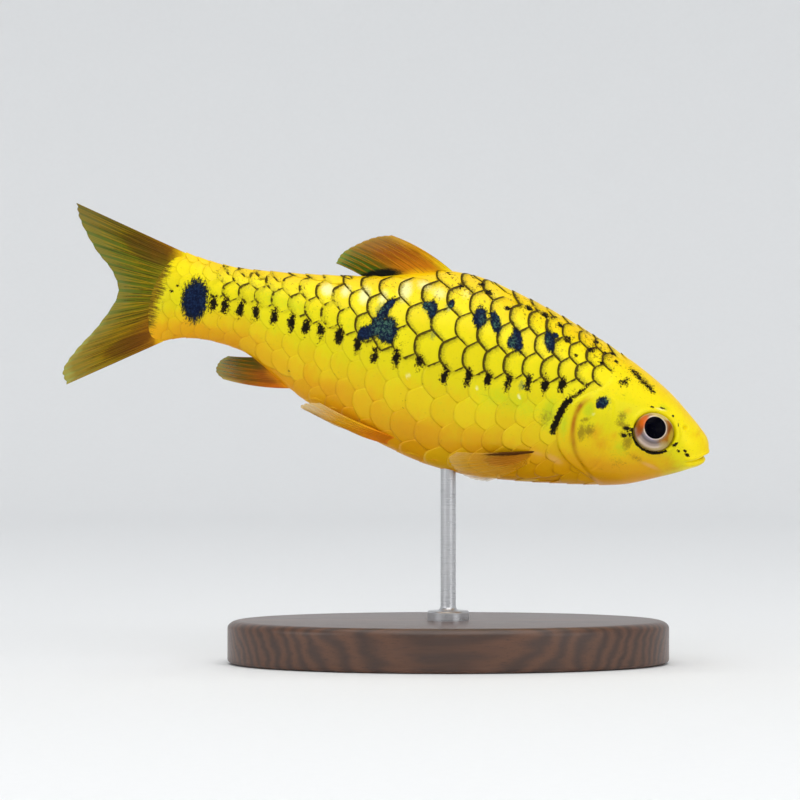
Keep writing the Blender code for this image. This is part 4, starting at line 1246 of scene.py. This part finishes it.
class BARB_OT_eyes(bpy.types.Operator):
    """Both eyes, each an iris with a bulging pupil under a wet surface"""

    bl_idname = "gold_barb.eyes"
    bl_label = "Eyes"

    def execute(self, context):
        settings = context.scene.barb_eyes
        material = self.eye_material()
        for name, side in (("eyeball_right", RIGHT), ("eyeball_left", LEFT)):
            self.add_eye(settings, name, side, material)
        return {"FINISHED"}

    def add_eye(self, settings, name, side, material):
        local, faces = self.eyeball(settings)
        station = np.array(EYE_PLACE[0])
        angle = angle_at(station, EYE_PLACE[1])
        out = body_normal(station, angle)
        towards_tail = unit(np.array([-1.0, 0.0, 0.0]) + out * out[0])
        up = np.cross(out, towards_tail)
        up *= np.sign(up[2])
        points = body_point(station, angle) - out * EYE_SINK + local @ np.array((towards_tail, up, out))
        fields = {
            "from_pupil": np.hypot(local[:, 0] - PUPIL_PLACE[0], local[:, 1] - PUPIL_PLACE[1]),
            "from_middle": np.hypot(local[:, 0], local[:, 1] / EYE_FLATNESS),
            "place": local,
        }
        if side == RIGHT:
            points = points * np.array([1.0, -1.0, 1.0])
            faces = [face[::-1] for face in faces]
        piece = new_piece(name, points, faces, fields)
        pose_fish(piece)
        dress(piece, material, "eye", "eye_right" if side == RIGHT else "eye_left")

    def eyeball(self, settings):
        """Points of a closed eye, towards the tail, up and out from its middle, and its faces."""
        radius = np.linspace(0, 1, settings.rings)[1:, None] ** 0.9 * EYE_RADIUS
        turn = np.linspace(0, 2 * np.pi, settings.spokes, endpoint=False)[None, :]
        x, y = radius * np.cos(turn), radius * np.sin(turn) * EYE_FLATNESS
        dome = EYE_DEPTH * np.sqrt(np.clip(1 - (radius / EYE_RADIUS) ** 2, 0, 1)) * 0.97 + 0 * turn
        from_pupil = np.hypot(x - PUPIL_PLACE[0], y - PUPIL_PLACE[1])
        bulge = settings.pupil_bulge / MM
        dome += bulge * smoothstep(PUPIL_RADIUS + 0.05, PUPIL_RADIUS - 0.25, from_pupil) - bulge * 0.9
        dome -= 0.07 * bump(from_pupil - PUPIL_RADIUS - 0.45, 0.22)
        rows, columns = dome.shape
        front = np.stack((x, y, dome), axis=-1).reshape(-1, 3)
        middles = np.array([[0.0, 0.0, float(dome[0].mean())], [0.0, 0.0, -0.9]])
        rim = np.stack((x[-1] * 0.97, y[-1] * 0.97, np.full(columns, -0.55)), axis=-1)
        count = rows * columns
        last, back_rim = count - columns, count + 2
        faces = grid_faces(rows, columns, closed=True)
        for j in range(columns):
            right = (j + 1) % columns
            faces.append((right, j, count))
            faces.append((last + j, last + right, back_rim + right, back_rim + j))
            faces.append((back_rim + j, back_rim + right, count + 1))
        return np.concatenate((front, middles, rim)), faces

    def eye_material(self):
        wet = {"Specular IOR Level": 0.03}
        paint = Paint("barb_eye", metallic=0.2, coat=0.6, coat_roughness=0.02, **wet)
        place = paint.place()
        away, middle = paint.field("from_pupil"), paint.field("from_middle")
        fibres = paint.noise(paint.stretched(place, (2.2, 2.2, 0.2)), 2.0, 5.0, 0.7)
        tailward = paint.node("ShaderNodeSeparateXYZ", None, place, output="X")
        up = paint.node("ShaderNodeSeparateXYZ", None, place, output="Y")
        ring = (away + (fibres - 0.5) * 0.12 - PUPIL_RADIUS) / (EYE_RADIUS - PUPIL_RADIUS)
        colour = paint.ramp(
            ring, (0.0, 226, 210, 190), (0.07, 206, 184, 160), (0.17, 150, 116, 74), (0.4, 166, 100, 14),
            (0.84, 146, 96, 4), (1.0, 140, 116, 4),
        )
        silver = paint.ramp(
            ring, (0.02, 206, 196, 210), (0.16, 140, 132, 142), (0.36, 112, 104, 104), (0.62, 160, 144, 136),
            (0.84, 214, 194, 176), (1.0, 196, 172, 120),
        )
        low = paint.step(up - tailward * 0.25 + (fibres - 0.5) * 0.7, -0.45, -1.05)
        colour = paint.blend(low * 0.95, colour, silver)
        for spot in IRIS_SPOTS:
            colour, _ = paint.dab(colour, tailward, up, fibres, spot, outer=1.7, inner=0.0)
        # Rim of the iris: a darker line along its lower part, and a pale pearly arc on top where a glint is
        # painted
        edge = paint.step(middle + (fibres - 0.5) * 0.1, EYE_RADIUS - 0.2, EYE_RADIUS - 0.04)
        edge_tones = paint.blend(paint.step(up, 0.2, 1.6), tone(130, 96, 20), PEARL_GLINT)
        colour = paint.blend(edge * 0.5, colour, edge_tones)
        pupil = paint.step(away, PUPIL_RADIUS + 0.015, PUPIL_RADIUS - 0.03)
        colour = paint.blend(pupil, colour, tone(0, 0, 8))
        return paint.finish(
            Base_Color=colour, Metallic=(0.15 - pupil * 0.15).clamped(), Roughness=0.4 - pupil * 0.3,
            Coat_Weight=(0.3 - pupil * 0.35).clamped(), Normal=paint.bump(fibres, 0.3, 0.00005),
        )


class BARB_OT_middle_fins(bpy.types.Operator):
    """The dorsal fin, the anal fin and the two lobes of the tail fin, with branched rays"""

    bl_idname = "gold_barb.middle_fins"
    bl_label = "Dorsal, anal and tail fins"

    def execute(self, context):
        settings = context.scene.barb_fins
        dorsal = partial(middle_fan, dorsal_root, DORSAL_TIPS, DORSAL_BOW)
        anal = partial(middle_fan, anal_root, ANAL_TIPS, ANAL_BOW)
        tail = partial(middle_fan, tail_root, TAIL_TIPS, (0.0, 0.0))
        rows = (
            ("dorsal", dorsal, settings.dorsal_rays, dorsal_material(), ("dorsal_fin",)),
            ("anal", anal, settings.anal_rays, anal_material(), ("anal_fin",)),
            ("tail", tail, settings.tail_rays, tail_material(), ("tail_fin_upper", "tail_fin_lower")),
        )
        for kind, fan, rays, material, nodes in rows:
            piece = fin_piece(settings, kind + "_membrane", fan, rays)
            dress(piece, material, kind + "_fin_skin", *nodes)
        return {"FINISHED"}


def dorsal_root(across):
    station = mix(DORSAL_ROOT[0], DORSAL_ROOT[1], across)
    return np.stack((station, back(station) - ROOT_SINK), axis=-1)


def anal_root(across):
    station = mix(ANAL_ROOT[0], ANAL_ROOT[1], across)
    return np.stack((station, belly(station) + ROOT_SINK), axis=-1)


def tail_root(across):
    height = mix(TAIL_ROOT[0], TAIL_ROOT[1], across)
    return np.stack((TAIL_END + tail_bow(height) - 2 * ROOT_SINK, height), axis=-1)


def free_edge(tips, across):
    """Station and height of a fin's free edge at shares of the way over its rays."""
    edge = smooth_line(tips, 81)
    share = np.linspace(0, 1, len(edge))
    return np.stack([np.interp(across, share, edge[:, k]) for k in range(2)], axis=-1)


def middle_fan(root, tips, bow, across, along):
    """Points of a fin in the middle plane, at shares across and along its rays."""
    spot = mix(root(across), free_edge(tips, across), along[..., None])
    arc = 4 * along * (1 - along) * mix(bow[0], bow[1], across)
    return np.stack((-spot[..., 0], 0 * along, spot[..., 1] + arc), axis=-1)


def paired_fan(root, tips, lift, side, across, along):
    """Points of a fin that is folded back along a flank and stands off it more towards its tips."""
    start = mix(np.array(root[0]), np.array(root[1]), across[..., None])
    spot = mix(start, free_edge(tips, across), along[..., None])
    angle = angle_at(spot[..., 0], spot[..., 1])
    away = mix(lift[0], lift[1], 1 - (1 - along) ** 2)
    placed = body_point(spot[..., 0], angle) + body_normal(spot[..., 0], angle) * away[..., None]
    return placed * np.array([1.0, side, 1.0])


def fin_piece(settings, name, fan, rays):
    """A closed membrane over a fan of rays. fan gives points for shares across and along the rays."""
    columns = (rays - 1) * settings.ray_columns + 1
    rows = settings.ray_rows
    across, along = np.meshgrid(np.linspace(0, 1, columns), np.linspace(0, 1, rows))
    number = across * (rays - 1)
    off = np.abs(number - np.round(number))
    draw = np.random.default_rng(SEED + rays + len(name))
    notch = WEB_SHORT * (off * 2) ** 1.5
    ragged = np.interp(np.linspace(0, 1, columns), np.linspace(0, 1, 9), draw.uniform(0, FRAYING, 9))
    middle = fan(across, along * (1 - notch - ragged[None, :]))
    ridge = ray_ridges(off, along) * smoothstep(0.12, 0.4, along)
    web_half = settings.membrane / MM / 2 * mix(1.0, 0.45, along)
    half = web_half + settings.ray_height / MM * ridge * mix(1.0, 0.3, along)
    half[:, (0, -1)] *= 0.45
    half[-1] *= 0.4
    normal = unit(np.cross(np.gradient(middle, axis=1), np.gradient(middle, axis=0)))
    upper, lower = middle + normal * half[..., None], middle - normal * half[..., None]
    points = np.concatenate((upper.reshape(-1, 3), lower.reshape(-1, 3)))
    streak = ray_streaks(draw, rays, number, along)
    joints = 0.5 + 0.5 * np.cos(along * 160.0) * (ridge > 0.3)
    plain = {"across": across, "along": along, "ray": ridge, "joints": joints, "streak": streak}
    fields = {key: np.concatenate((value.ravel(), value.ravel())) for key, value in plain.items()}
    place = middle.reshape(-1, 3) * np.array([-1.0, 1.0, 1.0])
    fields["place"] = np.concatenate((place, place))
    v = mix(0.02, 0.48, along)
    uv = uv_places(mix(0.02, 0.98, across), v, v + 0.5)
    piece = new_piece(name, points, shell_faces(rows, columns), fields, uv)
    pose_fish(piece)
    return piece


def ray_ridges(off, along):
    """Height of the rays, 0 to 1. Each ray forks at a third of its length, and its branches fork again."""
    first = smoothstep(0.32, 0.6, along) * 0.17
    second = smoothstep(0.62, 0.9, along) * 0.085
    width = mix(0.11, 0.05, smoothstep(0.3, 0.9, along))
    ridge = np.zeros_like(off)
    for branch in (1, -1):
        for twig in (1, -1):
            ridge = np.maximum(ridge, bump(off - branch * first - twig * second, width))
    return ridge


def ray_streaks(draw, rays, number, along):
    """Dark pigment that runs beside some rays."""
    streak = np.full(number.shape, -1.0)
    per_ray, half_streak = 4, 0.1
    for count in range(rays * per_ray):
        place = (count + draw.uniform(-0.4, 0.4)) / per_ray
        start, end, strength = draw.uniform(0.0, 0.35), draw.uniform(0.45, 1.0), draw.uniform(0.4, 1.2)
        inside = 1 - np.abs(number - place) / half_streak
        length = smoothstep(start - 0.1, start + 0.1, along) * smoothstep(end + 0.15, end - 0.15, along)
        streak = np.maximum(streak, np.where(inside > 0, inside * length * strength, -1.0))
    return streak


def dorsal_material():
    front = ((0.0, 248, 226, 4), (0.5, 228, 164, 2), (1.0, 206, 160, 10))
    middle = (
        (0.0, 240, 186, 2), (0.2, 196, 116, 0), (0.55, 158, 84, 0), (0.85, 146, 98, 0), (1.0, 170, 136, 10),
    )
    rear = ((0.0, 66, 78, 0), (0.4, 54, 88, 0), (0.8, 60, 102, 2), (1.0, 104, 140, 30))
    black = ((0.82, 0.16, 0.3, 0.17, tone(10, 10, 1), 1.0),)
    tones = tone(206, 136, 2), tone(92, 54, 0)
    return fin_material("dorsal_membrane", (front, middle, rear), tones, (0.97, 1.0, 0.8), 0.5, black)


def anal_material():
    front = ((0.0, 236, 158, 4), (0.2, 206, 104, 2), (0.6, 170, 100, 2), (1.0, 180, 164, 50))
    middle = ((0.0, 226, 144, 4), (0.25, 150, 80, 2), (0.7, 108, 88, 2), (1.0, 124, 128, 30))
    rear = ((0.0, 140, 90, 2), (0.3, 78, 72, 0), (0.8, 72, 82, 2), (1.0, 116, 128, 40))
    tones = tone(188, 112, 2), tone(80, 44, 0)
    return fin_material("anal_membrane", (front, middle, rear), tones, (0.94, 1.0, 0.75))


def tail_material():
    upper = (
        (0.0, 248, 226, 4), (0.08, 214, 168, 2), (0.17, 140, 92, 0), (0.6, 106, 92, 0), (1.0, 104, 100, 2),
    )
    middle = ((0.0, 134, 114, 0), (0.45, 104, 108, 0), (0.8, 90, 106, 0), (1.0, 98, 114, 6))
    lower = (
        (0.0, 232, 190, 2), (0.08, 206, 150, 2), (0.17, 140, 88, 0), (0.6, 138, 112, 0), (0.88, 136, 122, 2),
        (1.0, 160, 164, 70),
    )
    brown = (
        (0.12, 0.34, 0.12, 0.3, tone(70, 40, 0), 0.6), (0.88, 0.36, 0.1, 0.28, tone(84, 42, 0), 0.65),
    )
    tones = tone(182, 136, 2), tone(52, 38, 0)
    return fin_material("tail_membrane", (upper, middle, lower), tones, (0.98, 1.0, 0.8), 0.75, brown)


def pectoral_material():
    band = ((0.0, 232, 168, 12), (0.3, 222, 156, 20), (0.8, 236, 186, 70), (1.0, 246, 216, 160))
    # Patches: a brown patch in the fin's middle, which is painted shadow, and a dark streak along its upper
    # edge
    brown = (
        (0.36, 0.34, 0.34, 0.3, tone(164, 96, 12), 0.7), (0.05, 0.32, 0.14, 0.4, tone(70, 34, 4), 0.95),
    )
    tones = tone(226, 166, 60), tone(150, 90, 20)
    return fin_material("pectoral_membrane", (band,) * 3, tones, (0.22, 0.62, 0.6), 0.25, brown)


def pelvic_material():
    band = ((0.0, 230, 120, 8), (0.25, 236, 140, 8), (0.6, 240, 188, 20), (1.0, 248, 232, 170))
    tones = tone(236, 160, 20), tone(204, 96, 8)
    return fin_material("pelvic_membrane", (band,) * 3, tones, (0.6, 0.9, 0.55), 0.3)


class BARB_OT_paired_fins(bpy.types.Operator):
    """The pectoral and pelvic fins, folded back along the flanks"""

    bl_idname = "gold_barb.paired_fins"
    bl_label = "Pectoral and pelvic fins"

    def execute(self, context):
        settings = context.scene.barb_fins
        pectoral = (PECTORAL_ROOT, PECTORAL_TIPS, PECTORAL_LIFT)
        pelvic = (PELVIC_ROOT, PELVIC_TIPS, PELVIC_LIFT)
        rows = (
            ("pectoral", pectoral, settings.pectoral_rays, pectoral_material()),
            ("pelvic", pelvic, settings.pelvic_rays, pelvic_material()),
        )
        for kind, shape, rays, material in rows:
            for name, side in (("right", RIGHT), ("left", LEFT)):
                fan = partial(paired_fan, *shape, side)
                piece = fin_piece(settings, f"{kind}_membrane_{name}", fan, rays)
                dress(piece, material, "paired_fin_skin", f"{kind}_fin_{name}")
        return {"FINISHED"}


def wood_material(settings):
    paint = Paint("base_wood", roughness=0.38, coat=0.35, coat_roughness=0.2)
    where = paint.node("ShaderNodeTexCoord", None, output="Object")
    long_grain = paint.stretched(where, (60.0, 420.0, 420.0))
    warp = paint.noise(long_grain, 1.0, 3.0)
    bands = paint.node(
        "ShaderNodeTexWave", {"wave_type": "RINGS", "rings_direction": "X"},
        Vector=long_grain, Scale=0.9, Distortion=6.0, Detail=3.0, output="Fac",
    )
    fibres = paint.noise(paint.stretched(where, (300.0, 6000.0, 6000.0)), 1.0, 4.0, 0.7)
    light, dark = tuple(settings.wood_light), tuple(settings.wood_dark)
    colour = paint.blend(bands * 0.6 + warp * 0.4, dark, light)
    colour = paint.blend(paint.step(fibres, 0.5, 0.75) * 0.5, colour, tone(26, 14, 8))
    normal = paint.bump(fibres, 0.15, 0.00004)
    return paint.finish(Base_Color=colour, Roughness=0.3 + fibres * 0.25, Normal=normal)


def steel_material():
    paint = Paint("rod_steel", roughness=0.28, metallic=1.0)
    where = paint.node("ShaderNodeTexCoord", None, output="Object")
    turned = paint.noise(paint.stretched(where, (300.0, 300.0, 9000.0)), 1.0, 3.0)
    colour = paint.blend(turned, tone(168, 168, 170), tone(206, 206, 208))
    normal = paint.bump(turned, 0.1, 0.00002)
    return paint.finish(Base_Color=colour, Roughness=0.2 + turned * 0.2, Normal=normal)


def turned_piece(name, profile, sides, stretch=(1.0, 1.0)):
    """A turned shape from (radius, height) points in millimetres, from the top's middle to the foot's."""
    mesh = bpy.data.meshes.new(name)
    points = [(radius * MM, 0.0, height * MM) for radius, height in profile]
    mesh.from_pydata(points, [(k, k + 1) for k in range(len(profile) - 1)], [])
    made = bpy.data.objects.new(name, mesh)
    bpy.context.scene.collection.objects.link(made)
    screw = made.modifiers.new("Turned", "SCREW")
    screw.steps = sides
    screw.render_steps = sides
    screw.use_merge_vertices = True
    screw.merge_threshold = 0.000002
    bpy.context.view_layer.update()
    solid = bpy.data.meshes.new_from_object(made.evaluated_get(bpy.context.evaluated_depsgraph_get()))
    made.modifiers.clear()
    made.data = solid
    bpy.data.meshes.remove(mesh)
    solid.name = name
    solid.transform(Matrix.Diagonal((*stretch, 1.0, 1.0)))
    solid.shade_smooth()
    solid.set_sharp_from_angle(angle=math.radians(35))
    return made


def rounded_corner(radius, height, fillet, steps, start, end):
    """Points of a quarter round with its centre at (radius, height), between two angles in degrees."""
    turns = np.radians(np.linspace(start, end, steps))
    return [(radius + fillet * math.cos(t), height + fillet * math.sin(t)) for t in turns]


class BARB_OT_stand(bpy.types.Operator):
    """The wooden base and the steel rod"""

    bl_idname = "gold_barb.stand"
    bl_label = "Stand"

    def execute(self, context):
        settings = context.scene.barb_stand
        low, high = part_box("stand_base")
        centre = (low + high) / 2
        half_length, half_width = (high.x - low.x) / 2 / MM, (high.y - low.y) / 2 / MM
        height = high.z / MM
        foot_edge = BASE_EDGE * FOOT_EDGE_SHARE
        profile = [(0.0, height)]
        profile += rounded_corner(half_width - BASE_EDGE, height - BASE_EDGE, BASE_EDGE, 9, 90, 0)
        profile += rounded_corner(half_width - foot_edge, foot_edge, foot_edge, 6, 0, -90)
        profile += [(0.0, 0.0)]
        base = turned_piece("base_turned", profile, settings.sides, (half_length / half_width, 1.0))
        base.location = (centre.x, centre.y, 0.0)
        self.add(base, wood_material(settings), "dark_wood", "stand_base")

        rod_low, rod_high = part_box("stand_rod")
        foot, top = rod_low.z / MM - ROD_FOOT_SINK, rod_high.z / MM + ROD_SINK
        collar = foot + ROD_FOOT_HEIGHT
        profile = [(0.0, top), (ROD_RADIUS, top)]
        profile += [(ROD_RADIUS, mix(top, foot + SHAFT_START, share)) for share in (0.25, 0.5, 0.75)]
        profile += rounded_corner(ROD_RADIUS + ROD_FILLET, collar + ROD_FILLET, ROD_FILLET, 8, 180, 270)
        profile += [(ROD_FOOT_RADIUS - ROD_FOOT_CHAMFER, collar)]
        profile += [(ROD_FOOT_RADIUS, collar - ROD_FOOT_CHAMFER), (ROD_FOOT_RADIUS, foot), (0.0, foot)]
        rod = turned_piece("rod_turned", profile, settings.sides)
        rod.location = ((rod_low.x + rod_high.x) / 2, 0.0, 0.0)
        self.add(rod, steel_material(), "satin_steel", "stand_rod")
        return {"FINISHED"}

    def add(self, piece, material, slot, node):
        bpy.context.view_layer.update()
        dress(piece, material, slot, node)


class BARB_OT_stage(bpy.types.Operator):
    """A plain pale floor that curves up behind, soft lights and the camera"""

    bl_idname = "gold_barb.stage"
    bl_label = "Stage"

    def execute(self, context):
        settings = context.scene.barb_stage
        self.add_floor(settings)
        self.add_lights(settings)
        self.add_camera(context, settings)
        world = bpy.data.worlds.new("studio")
        world.use_nodes = True
        sky = world.node_tree.nodes["Background"]
        sky.inputs["Color"].default_value = SKY
        sky.inputs["Strength"].default_value = SKY_STRENGTH
        context.scene.world = world
        context.scene.view_settings.view_transform = "Standard"
        return {"FINISHED"}

    def add_floor(self, settings):
        """A round floor that curves up into a wall on every side."""
        flat, bend, top, drop = 420.0, 140.0, 620.0, 0.02
        outline = [(0.0, -drop), (60.0, -drop), (200.0, -drop)]
        outline += rounded_corner(flat, bend - drop, bend, 24, -90, 0)
        outline.append((flat + bend, top))
        floor = turned_piece("studio_floor", outline, 96)
        paint = Paint("floor_paper", roughness=0.9)
        where = paint.node("ShaderNodeTexCoord", None, output="Object")
        grain = paint.noise(where, 900.0, 3.0)
        base = tuple(settings.floor_colour)
        dim = tuple(value * 0.97 for value in base)
        floor.data.materials.append(paint.finish(Base_Color=paint.blend(grain, dim, base)))

    def add_lights(self, settings):
        rows = (
            ("key", (0.04, -0.26, 0.34), (0.36, 0.26), 0.55, (1.0, 0.98, 0.94)),
            ("overhead", (0.0, 0.0, 0.8), (0.8, 0.8), 3.1, (1.0, 1.0, 1.0)),
            ("fill_front", (0.3, -0.3, 0.12), (0.2, 0.2), 0.16, (0.98, 0.99, 1.0)),
            ("fill_side", (-0.3, -0.22, 0.14), (0.2, 0.2), 0.16, (0.98, 0.99, 1.0)),
        )
        for name, place, size, power, colour in rows:
            data = bpy.data.lights.new(name, "AREA")
            data.shape = "RECTANGLE"
            data.size, data.size_y = size
            data.energy = power * settings.light
            data.color = colour
            lamp = bpy.data.objects.new(name, data)
            lamp.location = place
            aim = Vector((0.0, 0.0, 0.03)) - Vector(place)
            lamp.rotation_euler = aim.to_track_quat("-Z", "Y").to_euler()
            bpy.context.scene.collection.objects.link(lamp)

    def add_camera(self, context, settings):
        """The camera is level, and the photograph's middle is on its axis."""
        pixel = settings.frame_width / PHOTO_WIDTH
        data = bpy.data.cameras.new("camera")
        data.lens = settings.lens
        data.sensor_width = 36.0
        data.dof.use_dof = False
        camera = bpy.data.objects.new("camera", data)
        distance = settings.frame_width * settings.lens / data.sensor_width
        right, down = SNOUT_PIXELS
        camera.location = (SNOUT_X * MM - right * pixel, -distance, SNOUT_Z * MM + down * pixel)
        camera.rotation_euler = (math.pi / 2, 0.0, 0.0)
        data.clip_start = 0.01
        data.clip_end = 10.0
        context.scene.collection.objects.link(camera)
        context.scene.camera = camera


class BARB_PT_panel(bpy.types.Panel):
    """Steps that dress the gold barb, in order"""

    bl_label = "Gold Barb"
    bl_idname = "BARB_PT_panel"
    bl_space_type = "VIEW_3D"
    bl_region_type = "UI"
    bl_category = "Gold Barb"

    def draw(self, context):
        for operator in OPERATORS:
            self.layout.operator(operator.bl_idname)
        for name in SETTINGS:
            box = self.layout.box()
            group = getattr(context.scene, name)
            for key in group.__annotations__:
                box.prop(group, key)


SETTINGS = {
    "barb_skin": SkinSettings,
    "barb_scales": ScaleSettings,
    "barb_fins": FinSettings,
    "barb_eyes": EyeSettings,
    "barb_stand": StandSettings,
    "barb_stage": StageSettings,
}
OPERATORS = (
    BARB_OT_skin, BARB_OT_scales, BARB_OT_eyes, BARB_OT_middle_fins, BARB_OT_paired_fins, BARB_OT_stand,
    BARB_OT_stage,
)


def register():
    for group in SETTINGS.values():
        bpy.utils.register_class(group)
    for name, group in SETTINGS.items():
        setattr(bpy.types.Scene, name, bpy.props.PointerProperty(type=group))
    for operator in (*OPERATORS, BARB_PT_panel):
        bpy.utils.register_class(operator)


def unregister():
    for operator in (BARB_PT_panel, *reversed(OPERATORS)):
        bpy.utils.unregister_class(operator)
    for name, group in reversed(SETTINGS.items()):
        delattr(bpy.types.Scene, name)
        bpy.utils.unregister_class(group)


def main():
    register()
    for step in (
        bpy.ops.gold_barb.skin, bpy.ops.gold_barb.scales, bpy.ops.gold_barb.eyes,
        bpy.ops.gold_barb.middle_fins, bpy.ops.gold_barb.paired_fins, bpy.ops.gold_barb.stand,
        bpy.ops.gold_barb.stage,
    ):
        step()


if __name__ == "__main__":
    main()
